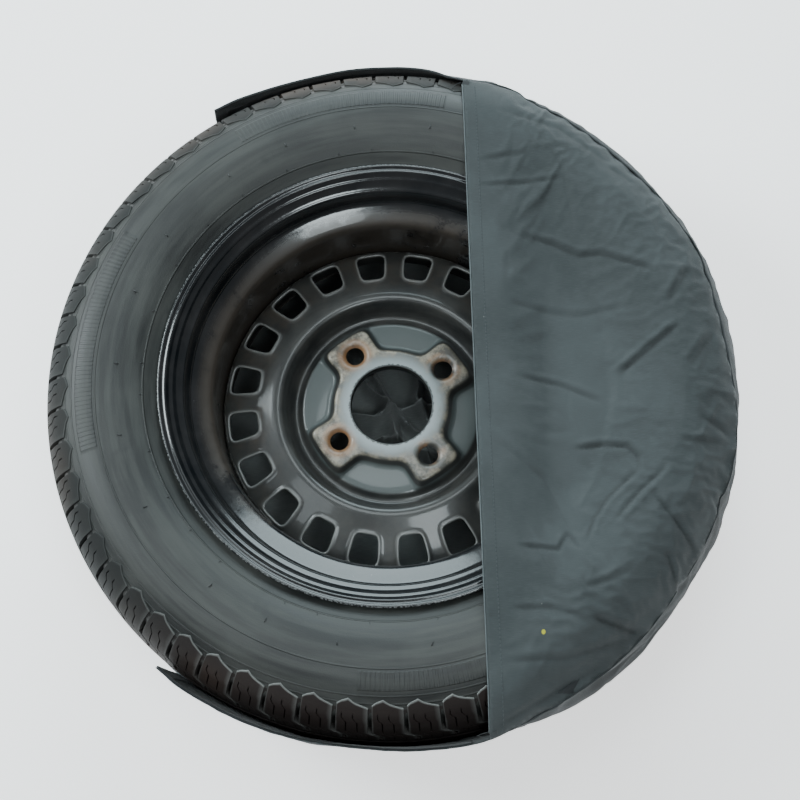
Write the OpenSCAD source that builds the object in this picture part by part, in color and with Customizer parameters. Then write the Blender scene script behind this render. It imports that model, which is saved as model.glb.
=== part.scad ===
// Spare tyre cover with the spare wheel it holds, lying flat, outboard face up.
// Origin: on the wheel's axis, at the floor under the cloth back panel. +Z is outboard.
// +X points away from the cover's mouth, so the wheel is drawn out along -X.

/* [Tyre] */
// Outer diameter over the tread
tyre_d = 596; // [594:1:598]
// Width of the tyre across its sidewalls
section_w = 189; // [187:1:191]
// Shoulder lugs around each edge of the tread
lug_count = 62; // [48:1:70]
// Width of the slots between the shoulder lugs
lug_slot_w = 3.5; // [2:0.5:5]
// Depth of the grooves around the tread
groove_depth = 7; // [4:0.5:7.5]

/* [Rim] */
// Radius of the rolled lip
lip_r = 195.3; // [194.5:0.1:196]
// Radius inside the drop-centre well
well_r = 153; // [152:0.5:154]
// Steel thickness of the barrel
barrel_t = 2.8; // [2.2:0.1:3.2]

/* [Wheel disc] */
// Steel thickness of the disc
disc_t = 3.5; // [3:0.1:4]
// Hub bore diameter
bore_d = 73.1; // [66.1:0.1:73.1]
// Bolt circle diameter
pcd = 114.3; // [112:0.1:116]
// Number of bolts
bolt_count = 4; // [4:1:5]
// Bolt hole diameter
bolt_hole_d = 16.5; // [14:0.5:17]
// Angle of the first bolt from +X
bolt_phase = 35.5; // [0:0.5:90]
// Number of vent slots around the disc
slot_count = 20; // [12:1:20]
// Angle of the first vent slot from +X
slot_phase = 8; // [0:0.5:18]

/* [Valve] */
// Angle of the valve from +X
valve_angle = 18; // [0:1:40]

/* [Cover] */
// Inside radius of the side band
cover_r = 302; // [301:0.5:306]
// Thickness of the cloth
cloth_t = 1.2; // [0.8:0.1:1.2]
// How far the front panel's free edge lies from the axis
edge_x = 72; // [40:1:110]
// Lean of the front panel's free edge, in degrees
edge_lean = 1.5; // [-4:0.5:4]
// Angle at which the upper end of the band stops
tail_end_upper = 124; // [105:1:140]
// Angle at which the lower end of the band stops
tail_end_lower = 128; // [105:1:140]
// Width of the turned hems
hem_w = 12; // [8:1:20]

/* [Hidden] */
$fn = 96;
eps = 0.01;

// Heights: the tyre lies just above the back panel, and the front panel just above the tyre
cloth_gap = 0.3;
mid_z = cloth_t + cloth_gap + section_w / 2;
hem_z = mid_z + section_w / 2 + cloth_gap;
panel_z = hem_z + cloth_t;
cover_h = panel_z + cloth_t;
lip_z = mid_z + 81;

// Tyre section, as radius and distance from the tyre's middle plane
tyre_r = tyre_d / 2;
bulge = section_w / 2;
belt_r = tyre_r - 9.5;
belt_w = 50;
tread_line = [[tyre_r, 0], [tyre_r - 0.4, 25], [tyre_r - 2, 45], [tyre_r - 4.5, 58],
    [tyre_r - 8, 67], [tyre_r - 12, 72.5], [tyre_r - 16.5, 77]];
under_tread = [[belt_r, 0], [belt_r, belt_w], [belt_r - 2.5, 58], [belt_r - 6.5, 67],
    [tyre_r - 16.5, 77]];
sidewall = [[276, bulge - 12.2], [268, bulge - 6.5], [257, bulge - 1.5], [245, bulge],
    [232, bulge - 1.2], [218, bulge - 5.2], [208, bulge - 10], [203, bulge - 14],
    [199.5, 77.5], [195, 74.5], [190, 72], [186, 70], [179.5, 67.4], [178, 65.8]];
lining = [[284, 0], [283.5, 30], [281, 55], [278.5, 66], [275, 74], [268, 82], [258, 86.8],
    [245, 88.3], [230, 86.8], [215, 81.3], [206, 75.5], [197, 68], [188, 61], [183, 55.5],
    [177.6, 54]];
bead_centre = [183.5, 62];
bead_side = 5;

// Grooves that run around the tread: distance from the middle plane and width
grooves = [[-36, 7], [-12, 9], [12, 9], [36, 7]];
// Slots between the shoulder lugs: middle, height and deepest point
slot_z = 62;
slot_h = 33;
slot_floor_r = belt_r + 0.7;

// Rim barrel, the surface seen from the axis, from the outboard lip to the well
seat_half = [[lip_r, -0.8], [lip_r - 2.8, 0], [lip_r - 7.3, -1], [lip_r - 11.8, -4.5],
    [lip_r - 14.8, -8.5], [174.6, -14], [173.5, -27], [172.5, -31]];
slope_out = [[168, -36], [160, -43], [well_r, -51]];
slope_in = [[well_r, -119], [158, -127]];
rim_span = 2 * (lip_z - mid_z);

// Wheel disc, the face seen from outboard, as radius and height
recess_z = 83;
pad_z = 91;
disc_face = [[bore_d / 2, recess_z], [80, recess_z], [84, 77], [90, 77], [95.5, 96],
    [99, 98.5], [104, 98.5], [108, 97.2], [148, 86.5], [well_r - 1.5, 83.5],
    [well_r, 80], [well_r, 62]];
pad_t = 5;
hub_wall = 4;
seat_d = 24;

// Vent slot corners, radius and half width
slot_inner = [120.6, 10.2];
slot_outer = [146.6, 13.5];
slot_corner = 5;

// Valve: where its axis meets the rim's slope, and its lean from +Z toward the axis
valve_at = [163.5, lip_z - 40];
valve_lean = 50;
valve_hole_r = 5.75;
cap_z = 30;

// Left-hand unit normal of the step from a to b
function left_of(a, b) = [a.y - b.y, b.x - a.x] / norm(b - a);

// Point i of path p, moved t to the left with mitred corners
function beside(p, i, t) =
    let (last = len(p) - 1,
         n1 = left_of(p[max(i - 1, 0)], p[max(i, 1)]),
         n2 = left_of(p[min(i, last - 1)], p[min(i + 1, last)]))
    p[i] + t * (n1 + n2) / (1 + n1 * n2);

// Closed outline of a bent plate: path p on one face, and its mitred offset on the other
function plate(p, t) = concat(p, [for (i = [len(p) - 1:-1:0]) beside(p, i, t)]);

// Polygon p with each corner replaced by a soft curve that starts r from the corner
function softened(p, r, n = 4) = [
    for (i = [0:len(p) - 1])
        let (b = p[i], a = p[(i + len(p) - 1) % len(p)], c = p[(i + 1) % len(p)],
             s = b + r * (a - b) / norm(a - b), e = b + r * (c - b) / norm(c - b))
            for (k = [0:n])
                let (u = k / n) (1 - u) * (1 - u) * s + 2 * u * (1 - u) * b + u * u * e];

function reversed(p) = [for (i = [len(p) - 1:-1:0]) p[i]];

// A profile that starts on the middle plane, as heights, on one side of that plane
function one_half(p, side, first) =
    [for (i = [first:len(p) - 1]) [p[i].x, mid_z + side * p[i].y]];

// The same profile on both sides, from its lower end to its upper end
function both_halves(p) = concat(reversed(one_half(p, -1, 0)), one_half(p, 1, 1));

// Part of a ring of cloth, from angle a to angle b
module band(a, b, r, z0, z1, t = cloth_t) {
    rotate([0, 0, a]) rotate_extrude(angle = b - a, $fn = 180)
        translate([r, z0]) square([t, z1 - z0]);
}

// Everything on the side of the front panel's free edge away from the mouth
module beyond_edge(shift = 0) {
    rotate([0, 0, edge_lean]) translate([edge_x + shift, -tyre_d])
        square([tyre_d, 2 * tyre_d]);
}

// Angles at which the front panel's free edge meets the band
function edge_angle(r) = acos(edge_x / r);
upper_corner = edge_angle(cover_r) + edge_lean;
lower_corner = edge_angle(cover_r) - edge_lean;
// Angle that a hem takes up along the band
hem_angle = hem_w / cover_r * 180 / PI;

module back_panel() {
    color([0.16, 0.18, 0.19]) difference() {
        cylinder(r = cover_r, h = cloth_t, $fn = 180);
        back_hem_solid();
    }
}

// The back panel's bare arc on the mouth side, turned over and sewn flat
module back_hem_solid() {
    band(tail_end_upper, 360 - tail_end_lower, cover_r - hem_w, 0, cloth_t, hem_w + 1);
}

module back_edge_hem() {
    color([0.12, 0.13, 0.14])
        band(tail_end_upper, 360 - tail_end_lower, cover_r - hem_w, 0, cloth_t, hem_w);
}

// Tape over the raw edges of the seam between back panel and band
module back_seam_binding() {
    color([0.08, 0.09, 0.1])
        band(-tail_end_lower + 3, tail_end_upper - 3, cover_r - 9, cloth_t, 2 * cloth_t, 9);
}

module side_band() {
    color([0.2, 0.22, 0.23]) band(-90, 90, cover_r, 0, panel_z);
}

module band_tail_upper() {
    color([0.2, 0.22, 0.23]) band(90, tail_end_upper, cover_r, 0, panel_z);
}

module band_tail_lower() {
    color([0.2, 0.22, 0.23]) band(-tail_end_lower, -90, cover_r, 0, panel_z);
}

// Hem turned inward along the band's free top edge and its end: a lining from angle a to
// angle b, cut away from angle c to angle d below the top strip
module mouth_hem(a, b, c, d) {
    difference() {
        band(a, b, cover_r - cloth_t, 2 * cloth_t, panel_z);
        band(c, d, cover_r - 2 * cloth_t, 0, panel_z - hem_w, 4 * cloth_t);
    }
}

module mouth_hem_upper() {
    color([0.12, 0.13, 0.14])
        mouth_hem(upper_corner + 2, tail_end_upper, upper_corner, tail_end_upper - hem_angle);
}

module mouth_hem_lower() {
    color([0.12, 0.13, 0.14])
        mouth_hem(-tail_end_lower, -lower_corner - 2, hem_angle - tail_end_lower, -lower_corner);
}

module front_panel() {
    color([0.2, 0.22, 0.23]) translate([0, 0, panel_z]) linear_extrude(cloth_t)
        intersection() {
            circle(r = cover_r + cloth_t, $fn = 180);
            beyond_edge();
        }
}

// The free edge turned under and sewn: a second layer below the panel
module front_edge_hem() {
    color([0.14, 0.15, 0.16]) translate([0, 0, hem_z]) linear_extrude(cloth_t)
        intersection() {
            circle(r = cover_r - 12, $fn = 180);
            difference() {
                beyond_edge();
                beyond_edge(hem_w);
            }
        }
}

// Tape over the raw edges of the seam between front panel and band
module front_seam_binding() {
    color([0.08, 0.09, 0.1])
        band(-lower_corner + 2, upper_corner - 2, cover_r - 9, hem_z, panel_z, 9);
}

// Dense thread bars where the free edges end in a seam
module corner_bar_tacks() {
    color([0.05, 0.05, 0.06]) {
        for (a = [upper_corner - 1.2, -lower_corner + 1.2])
            rotate([0, 0, a]) translate([cover_r - 8, -2, cover_h]) cube([7, 3, 0.6]);
        for (a = [tail_end_upper - 1, -tail_end_lower + 0.5])
            band(a, a + 0.5, cover_r + cloth_t, 4, 13, 0.6);
    }
}

// Carcass and sidewalls in one moulded ring, open toward the rim
module tyre_casing() {
    outside = both_halves(concat(under_tread, sidewall));
    color([0.11, 0.12, 0.12]) rotate_extrude($fn = 180) difference() {
        polygon(concat(outside, reversed(both_halves(lining))));
        for (side = [-1, 1]) bead_bundle(side);
    }
}

module bead_bundle(side) {
    translate([bead_centre.x, mid_z + side * bead_centre.y])
        square(bead_side, center = true);
}

// Tread ring with its circumferential grooves and the slots between shoulder lugs
module tyre_tread() {
    color([0.13, 0.14, 0.14]) difference() {
        rotate_extrude($fn = 180) difference() {
            polygon(concat(both_halves(tread_line), reversed(both_halves(under_tread))));
            for (g = grooves)
                translate([tyre_r - groove_depth, mid_z + g[0] - g[1] / 2])
                    square([groove_depth + 1, g[1]]);
            translate([belt_r - 1, mid_z - belt_w + 2])
                square([2, 2 * belt_w - 4]);
        }
        for (side = [-1, 1], i = [0:lug_count - 1])
            rotate([0, 0, i * 360 / lug_count])
                translate([slot_floor_r, -lug_slot_w / 2, mid_z + side * slot_z - slot_h / 2])
                    cube([20, lug_slot_w, slot_h]);
    }
}

// Two steel cord plies, shown as the one band they are vulcanised into
module steel_belt() {
    color([0.45, 0.42, 0.38]) rotate_extrude($fn = 180)
        translate([belt_r, mid_z - belt_w + 2]) square([1, 2 * belt_w - 4]);
}

module outboard_bead_wire() {
    color([0.5, 0.45, 0.35]) rotate_extrude($fn = 180) bead_bundle(1);
}

module inboard_bead_wire() {
    color([0.5, 0.45, 0.35]) rotate_extrude($fn = 180) bead_bundle(-1);
}

module at_valve() {
    rotate([0, 0, valve_angle]) translate([valve_at.x, 0, valve_at.y])
        rotate([0, -valve_lean, 0]) children();
}

module rim_barrel() {
    outboard = [for (q = concat(seat_half, slope_out)) [q.x, lip_z + q.y]];
    inboard_seat = [for (q = reversed(seat_half)) [q.x, -rim_span - q.y]];
    inboard = [for (q = concat(slope_in, inboard_seat)) [q.x, lip_z + q.y]];
    color([0.05, 0.05, 0.055]) difference() {
        rotate_extrude($fn = 180) polygon(plate(concat(outboard, inboard), barrel_t));
        at_valve() cylinder(r = valve_hole_r, h = 24, center = true, $fn = 48);
    }
}

// Outline of the raised star: a ring around the bore and a pad for each bolt
module star(inset = 0) {
    circle(r = 52 - inset);
    for (i = [0:bolt_count - 1])
        rotate(bolt_phase + i * 360 / bolt_count)
            polygon([[38, inset - 18], [79 - inset, inset - 25],
                [79 - inset, 25 - inset], [38, 18 - inset]]);
}

module vent_slot() {
    polygon(softened([[slot_inner.x, -slot_inner.y], [slot_outer.x, -slot_outer.y],
        [slot_outer.x, slot_outer.y], [slot_inner.x, slot_inner.y]], slot_corner));
}

module wheel_disc() {
    under = recess_z - disc_t;
    color([0.06, 0.06, 0.065]) difference() {
        union() {
            rotate_extrude($fn = 180) polygon(plate(disc_face, -disc_t));
            translate([0, 0, under + eps]) linear_extrude(pad_z - under - eps) star();
        }
        // Hollow under the pressed-up star, leaving a wall around the hub bore
        translate([0, 0, under - 1]) linear_extrude(pad_z - pad_t - under + 1) difference() {
            star(disc_t);
            circle(d = bore_d + 2 * hub_wall);
        }
        translate([0, 0, under - 1]) cylinder(d = bore_d, h = 30);
        for (i = [0:bolt_count - 1])
            rotate([0, 0, bolt_phase + i * 360 / bolt_count])
                translate([pcd / 2, 0, under]) {
                    cylinder(d = bolt_hole_d, h = 20, $fn = 48);
                    translate([0, 0, pad_z - under - 3])
                        cylinder(d1 = bolt_hole_d, d2 = seat_d + 2, h = 4, $fn = 48);
                }
        for (i = [0:slot_count - 1])
            rotate([0, 0, slot_phase + i * 360 / slot_count])
                translate([0, 0, 70]) linear_extrude(40) vent_slot();
    }
}

// Four runs of weld where the disc's flange meets the well
module disc_weld_beads() {
    color([0.09, 0.09, 0.09]) for (i = [0:3])
        rotate([0, 0, 90 * i + 12]) rotate_extrude(angle = 66, $fn = 180)
            polygon([[well_r - 3.4, 62], [well_r, 62], [well_r, 58.5]]);
}

// Moulded rubber stem: bulb against the tyre side, groove in the rim hole, tapered neck
module valve_stem() {
    color([0.07, 0.07, 0.07]) at_valve() rotate_extrude($fn = 48)
        polygon([[2.6, -7], [8.6, -7], [8.6, -5], [5.6, -3.2], [5.6, 0.4], [7.6, 1.4], [7.4, 7],
            [4.9, 16], [4.6, 26], [2.6, 26]]);
}

// Brass insert with its threaded tip
module valve_core() {
    color([0.72, 0.6, 0.32]) at_valve() {
        translate([0, 0, -7]) cylinder(r = 2.6, h = 33, $fn = 48);
        translate([0, 0, 26]) cylinder(r = 3.85, h = 9, $fn = 48);
    }
}

module valve_cap() {
    color([0.05, 0.05, 0.05]) at_valve() translate([0, 0, cap_z]) difference() {
        cylinder(r = 4.9, h = 10, $fn = 48);
        translate([0, 0, -1]) cylinder(r = 3.95, h = 8, $fn = 48);
    }
}

back_panel();
back_edge_hem();
back_seam_binding();
side_band();
band_tail_upper();
band_tail_lower();
mouth_hem_upper();
mouth_hem_lower();
front_panel();
front_edge_hem();
front_seam_binding();
corner_bar_tacks();
tyre_casing();
tyre_tread();
steel_belt();
outboard_bead_wire();
inboard_bead_wire();
rim_barrel();
wheel_disc();
disc_weld_beads();
valve_stem();
valve_core();
valve_cap();
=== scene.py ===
# %% [markdown]
# # A spare tyre cover, drawn half over its wheel
# A cloth cover like this is cut from a few flat pieces: a round back panel, a long side band and
# a front panel that is little more than half a circle. Sewn together they make a pocket, and the
# spare wheel slides in from the open side. Here the wheel lies on its back, so its painted disc
# and half of the tyre still show. The model is made from the outside of the real thing inward:
# first the frame that fixes every size, then finishes, then the wheel, and the cloth last,
# because cloth takes its shape from what lies under it.

# %% The frame that every size comes from
import math

import bmesh
import bpy
import numpy as np
from mathutils import Matrix, Vector, geometry


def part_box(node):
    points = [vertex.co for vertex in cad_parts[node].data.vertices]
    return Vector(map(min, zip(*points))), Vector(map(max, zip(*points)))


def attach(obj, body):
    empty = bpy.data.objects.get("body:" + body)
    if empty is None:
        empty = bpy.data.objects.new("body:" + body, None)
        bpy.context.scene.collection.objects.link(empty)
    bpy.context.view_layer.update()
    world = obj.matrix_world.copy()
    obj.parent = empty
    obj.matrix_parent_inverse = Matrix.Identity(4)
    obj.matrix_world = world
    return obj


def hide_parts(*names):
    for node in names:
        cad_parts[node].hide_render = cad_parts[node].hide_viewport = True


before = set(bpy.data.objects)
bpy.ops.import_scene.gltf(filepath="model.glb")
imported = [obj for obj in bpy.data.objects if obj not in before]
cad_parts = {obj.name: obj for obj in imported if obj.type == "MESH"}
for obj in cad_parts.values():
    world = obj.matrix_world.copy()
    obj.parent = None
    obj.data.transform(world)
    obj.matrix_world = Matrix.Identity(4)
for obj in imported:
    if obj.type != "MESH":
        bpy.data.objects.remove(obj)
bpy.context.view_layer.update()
MM = 0.001


def span(node):
    """Lowest and highest corner of a node, as two arrays in millimetres."""
    low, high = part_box(node)
    return np.array(low) / MM, np.array(high) / MM


TYRE_R = span("tyre_tread")[1][0]
MID_Z = float(np.mean([end[2] for end in span("tyre_casing")]))
LIP_Z = span("rim_barrel")[1][2]
COVER_R = span("back_panel")[1][0]
BOLT_CIRCLE = 57.15
BOLT_PHASE, SLOT_PHASE, VALVE_PHASE = np.radians([35.5, 8.0, 18.0])
UP, OUT = np.array([0, 0, 1.0]), np.array([1, 1, 0])
print(f"tyre {2 * TYRE_R:.0f} mm across, lip at {LIP_Z:.0f} mm, cover {COVER_R:.0f} mm in radius")

# %% [markdown]
# ## Meshes from arrays
# Every new piece is a grid of points. A grid that closes on itself in one direction is a tube or
# a ring, and one that closes both ways has no edges at all. Building the points as one array and
# the faces as index arithmetic keeps each piece to a few lines, and is much faster than adding
# faces one at a time. A closed shape with a negative volume is inside out, so the sign of the
# volume says whether its faces have to be turned round.

# %% Angles and places
def polar(r, a, z=None):
    """Plane point (r cos a, r sin a), with the height z as a third number if it is given."""
    parts = [r * np.cos(a), r * np.sin(a)] + ([] if z is None else [z])
    return np.stack(np.broadcast_arrays(*parts), axis=-1)


def around(count):
    """Angles of count equal steps around one turn, from 0."""
    return np.linspace(0, 2 * np.pi, count, endpoint=False)


def unit(vectors):
    """Each vector divided by its length."""
    return vectors / np.linalg.norm(vectors, axis=-1, keepdims=True)


def smoothstep(low, high, x):
    """0 below low, 1 above high, and 3t^2 - 2t^3 between them."""
    t = np.clip((x - low) / (high - low), 0, 1)
    return t * t * (3 - 2 * t)


# %% Grid faces, rings and pieces
def grid_faces(rows, columns, close_rows=False, close_columns=False):
    """Quads between neighbouring points of a rows by columns grid, as indices."""
    i = np.arange(rows if close_rows else rows - 1)[:, None]
    j = np.arange(columns if close_columns else columns - 1)[None, :]
    below, beside = (i + 1) % rows, (j + 1) % columns
    corners = [i * columns + j, i * columns + beside, below * columns + beside, below * columns + j]
    return np.stack(corners, axis=-1).reshape(-1, 4)


def signed_volume(points, faces):
    """Sum over the faces of the volume of the pyramid from the origin, by its triangles."""
    a, b, c = points[faces[:, 0]], points[faces[:, 1]], points[faces[:, 2]]
    total = np.einsum("ij,ij->i", a, np.cross(b, c)).sum()
    if faces.shape[1] == 4:
        d = points[faces[:, 3]]
        total += np.einsum("ij,ij->i", a, np.cross(c, d)).sum()
    return total / 6


def joined(parts):
    """Several (points, faces) pairs as one, with the indices of each moved along."""
    starts = np.cumsum([0] + [len(points) for points, _ in parts[:-1]])
    points = np.concatenate([points for points, _ in parts])
    faces = np.concatenate([faces + start for (_, faces), start in zip(parts, starts)])
    return points, faces


def outward(points, faces):
    """The faces of a closed shape, turned round if they point inward."""
    return faces if signed_volume(points, faces) > 0 else faces[:, ::-1]


def facing(points, faces, index, way):
    """The faces, all turned round if the one at index looks against its place times way."""
    one = points[faces[index]]
    normal = np.cross(one[1] - one[0], one[3] - one[0])
    return faces[:, ::-1] if normal @ (one[0] * way) < 0 else faces


def points_of(mesh):
    """The points of a mesh, in millimetres."""
    place = np.empty(len(mesh.vertices) * 3)
    mesh.vertices.foreach_get("co", place)
    return place.reshape(-1, 3) / MM


def corners_of(mesh):
    """The point index at each corner of each face, in one row."""
    corner = np.empty(len(mesh.loops), np.int32)
    mesh.loops.foreach_get("vertex_index", corner)
    return corner


def add_mesh(name, points, faces, flat_uv=None, smooth=True):
    """A new object from points in millimetres; flat_uv gives each point a place in metres."""
    mesh = bpy.data.meshes.new(name)
    mesh.from_pydata((points * MM).tolist(), [], faces.tolist())
    mesh.polygons.foreach_set("use_smooth", np.full(len(mesh.polygons), smooth))
    if flat_uv is not None:
        layer = mesh.uv_layers.new(name="Cut")
        layer.data.foreach_set("uv", (flat_uv[corners_of(mesh)] * MM).astype(np.float32).ravel())
    mesh.update()
    obj = bpy.data.objects.new(name, mesh)
    bpy.context.scene.collection.objects.link(obj)
    return obj


def store(obj, name, values):
    """Stores one number per point of a mesh, which its finish reads back by the same name."""
    layer = obj.data.attributes.new(name, "FLOAT", "POINT")
    layer.data.foreach_set("value", np.asarray(values, np.float32).ravel())


def mend(obj, change, face_up=False):
    """Runs change on the editable mesh of an object, then makes its faces agree."""
    shape = bmesh.new()
    shape.from_mesh(obj.data)
    change(shape)
    bmesh.ops.recalc_face_normals(shape, faces=shape.faces)
    if face_up and sum(face.normal.z for face in shape.faces) < 0:
        bmesh.ops.reverse_faces(shape, faces=shape.faces)
    shape.to_mesh(obj.data)
    shape.free()


def plate(obj, thickness):
    """Gives a sheet its thickness, on the side that its faces look away from."""
    wall = obj.modifiers.new("Thickness", "SOLIDIFY")
    wall.thickness, wall.offset = thickness * MM, -1


def finish_piece(obj, body, material, stands_for=()):
    """Gives a piece its material, its body, and the CAD nodes that it stands for."""
    obj.data.materials.clear()
    obj.data.materials.append(material)
    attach(obj, body)
    if stands_for:
        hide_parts(*stands_for)
    print(f"{obj.name}: {len(obj.data.polygons)} faces")
    return obj


def rounded(path, times=2):
    """Chaikin's corner cutting: each pass swaps a corner for points a quarter along its sides."""
    path = np.asarray(path, float)
    for _ in range(times):
        near = 0.75 * path[:-1] + 0.25 * path[1:]
        far = 0.25 * path[:-1] + 0.75 * path[1:]
        inner = np.stack([near, far], axis=1).reshape(-1, path.shape[1])
        path = np.concatenate([path[:1], inner, path[-1:]])
    return path


def thickened(path, thickness):
    """Closed outline of a bent plate: the path, and back along it moved to its left."""
    step = np.gradient(path, axis=0)
    left = np.stack([-step[:, 1], step[:, 0]], axis=1) / np.linalg.norm(step, axis=1)[:, None]
    return np.concatenate([path, (path + thickness * left)[::-1]])


def turned(outline, segments):
    """A closed outline of (radius, height) turned about Z: x = r cos a, y = r sin a."""
    points = polar(outline[:, 0, None], around(segments), outline[:, 1, None]).reshape(-1, 3)
    return points, outward(points, grid_faces(len(outline), segments, True, True))


# %% [markdown]
# ## Shader maths that reads like maths
# A material's pattern is a sum of masks and noises. Wiring Math nodes by hand hides the formula,
# so a small class wraps a socket and turns `1 - mask * 2` into nodes. `node` adds any other node
# with its settings first. Colours go through Mix nodes, because Math would turn them grey.

# %% A socket with operators, and a finish that holds the nodes
class Field:
    """A socket of a node tree, on which sums and functions become nodes."""

    def __init__(self, tree, socket):
        self.tree, self.socket = tree, socket

    def maths(self, operation, *values):
        """A Math node on the values given."""
        node = self.tree.nodes.new("ShaderNodeMath")
        node.operation = operation
        for place, value in zip(node.inputs, values):
            connect(self.tree, place, value)
        return Field(self.tree, node.outputs[0])

    def fn(self, operation, *others):
        """A Math node with this socket as its first value."""
        return self.maths(operation, self, *others)

    def __add__(self, other): return self.fn("ADD", other)
    def __sub__(self, other): return self.fn("SUBTRACT", other)
    def __mul__(self, other): return self.fn("MULTIPLY", other)
    def __truediv__(self, other): return self.fn("DIVIDE", other)
    def __pow__(self, other): return self.fn("POWER", other)
    def __abs__(self): return self.fn("ABSOLUTE")
    def __rsub__(self, other): return self.maths("SUBTRACT", other, self)
    __radd__, __rmul__ = __add__, __mul__

    def over(self, low, high):
        """0 where this is below low and 1 where it is above high, smoothly between."""
        node = self.tree.nodes.new("ShaderNodeMapRange")
        node.interpolation_type = "SMOOTHSTEP"
        for place, value in zip(node.inputs, (self, low, high, 0.0, 1.0)):
            connect(self.tree, place, value)
        return Field(self.tree, node.outputs[0])


def connect(tree, place, value):
    """Links a Field to a socket, or sets the socket's own value."""
    if isinstance(value, Field):
        tree.links.new(value.socket, place)
    elif place.type == "RGBA":
        place.default_value = (*value[:3], 1.0)
    else:
        place.default_value = value


class Finish:
    """One material: its node tree, and short ways to add to it."""

    def __init__(self, name):
        self.material = bpy.data.materials.new(name)
        self.material.use_nodes = True
        self.tree = self.material.node_tree
        self.tree.nodes.clear()

    def node(self, kind, settings=None, values=None, output=0):
        """Adds a node: settings are its own properties, values its sockets by name or index."""
        node = self.tree.nodes.new(kind)
        for key, value in (settings or {}).items():
            setattr(node, key, value)
        for key, value in (values or {}).items():
            connect(self.tree, node.inputs[key], value)
        return Field(self.tree, node.outputs[output]) if len(node.outputs) else None

    def place(self, scale=(1, 1, 1), cut=False):
        """Object coordinates in metres, or the cloth's flat cut, stretched by scale."""
        start = self.node("ShaderNodeTexCoord", output="UV" if cut else "Object")
        return self.node("ShaderNodeMapping", None, {"Vector": start, "Scale": scale})

    def stored(self, name):
        """The number that store() left on each point."""
        return self.node("ShaderNodeAttribute", {"attribute_name": name}, None, "Fac")

    def split(self, vector):
        """The three parts of a vector or a colour."""
        node = self.tree.nodes.new("ShaderNodeSeparateXYZ")
        connect(self.tree, node.inputs[0], vector)
        return [Field(self.tree, out) for out in node.outputs]

    def noise(self, where, scale, detail=3.0, rough=0.55):
        """Cloudy pattern between 0 and 1, with scale blobs to a metre."""
        return self.node("ShaderNodeTexNoise", None,
            {"Vector": where, "Scale": scale, "Detail": detail, "Roughness": rough}, "Fac")

    def mix(self, share, first, second):
        """The first colour where share is 0, the second where it is 1."""
        node = self.tree.nodes.new("ShaderNodeMix")
        node.data_type = "RGBA"
        node.clamp_factor = True
        connect(self.tree, node.inputs["Factor"], share)
        for place, value in zip((6, 7), (first, second)):
            connect(self.tree, node.inputs[place], value)
        return Field(self.tree, node.outputs[2])

    def layers(self, colour, *pairs):
        """Lays each (share, colour) over what lies under it, in the order given."""
        for share, top in pairs:
            colour = self.mix(share, colour, top)
        return colour

    def surface(self, colour, rough, height=None, depth=0.0005, metal=0.0, **steady):
        """Principled shader, a Bump of depth metres from height, and steady socket values."""
        values = {"Base Color": colour, "Roughness": rough, "Metallic": metal}
        if height is not None:
            values["Normal"] = self.node("ShaderNodeBump", None,
                {"Strength": 1.0, "Distance": depth, "Height": height})
        values.update({key.replace("_", " "): value for key, value in steady.items()})
        shader = self.node("ShaderNodeBsdfPrincipled", None, values)
        self.node("ShaderNodeOutputMaterial", None, {"Surface": shader})
        return self.material

    def radius(self):
        """Distance from the wheel's axis in metres, the angle around it, and the height."""
        x, y, z = self.split(self.place())
        return (x * x + y * y) ** 0.5, y.fn("ARCTAN2", x), z


# %% [markdown]
# ## Finishes
# Real surfaces vary: rubber greys with dust that is dragged round as the wheel turns, black paint
# chips at edges and rusts where steel rubs steel, and cloth carries lint and a weave. Each finish
# starts from a measured-looking dark colour, then adds that variation through masks. Angles are
# read as a direction (x / r, y / r), which has no jump where the angle passes half a turn.
# Some finishes also paint light and shade into the colour: lighter and darker copies of the cloth,
# shade along the creases, and highlight and reflection on the disc.

# %% Rubber
DUSTY, DARK_RUBBER, SMUDGE = (0.047, 0.049, 0.045), (0.008, 0.009, 0.009), (0.012, 0.013, 0.013)
BROWN_DUST, RED_DUST, WORN_GREY = (0.075, 0.048, 0.034), (0.026, 0.014, 0.012), (0.26, 0.27, 0.26)
FIN_BAND = 0.2465, 0.2620
FIN_ARCS = (100, 21), (173, 22), (278, 13), (20, 25)
FIN_COUNT = 420
RING_LINES = 0.2445, 0.2655, 0.2712, 0.2065


def fins(angle, r):
    """Moulded bands of radial ridges: sine(420 angle) inside each (middle, half width) arc."""
    band = r.over(FIN_BAND[0], FIN_BAND[0] + 0.001) * (1 - r.over(FIN_BAND[1] - 0.001, FIN_BAND[1]))
    ridge = (angle * FIN_COUNT).fn("SINE").over(-0.3, 0.3) * 0.8 + 0.5
    arcs = [(angle - math.radians(middle)).fn("COSINE").over(
        math.cos(math.radians(half + 0.6)), math.cos(math.radians(half)))
        for middle, half in FIN_ARCS]
    return sum(arcs) * band * ridge


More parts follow.
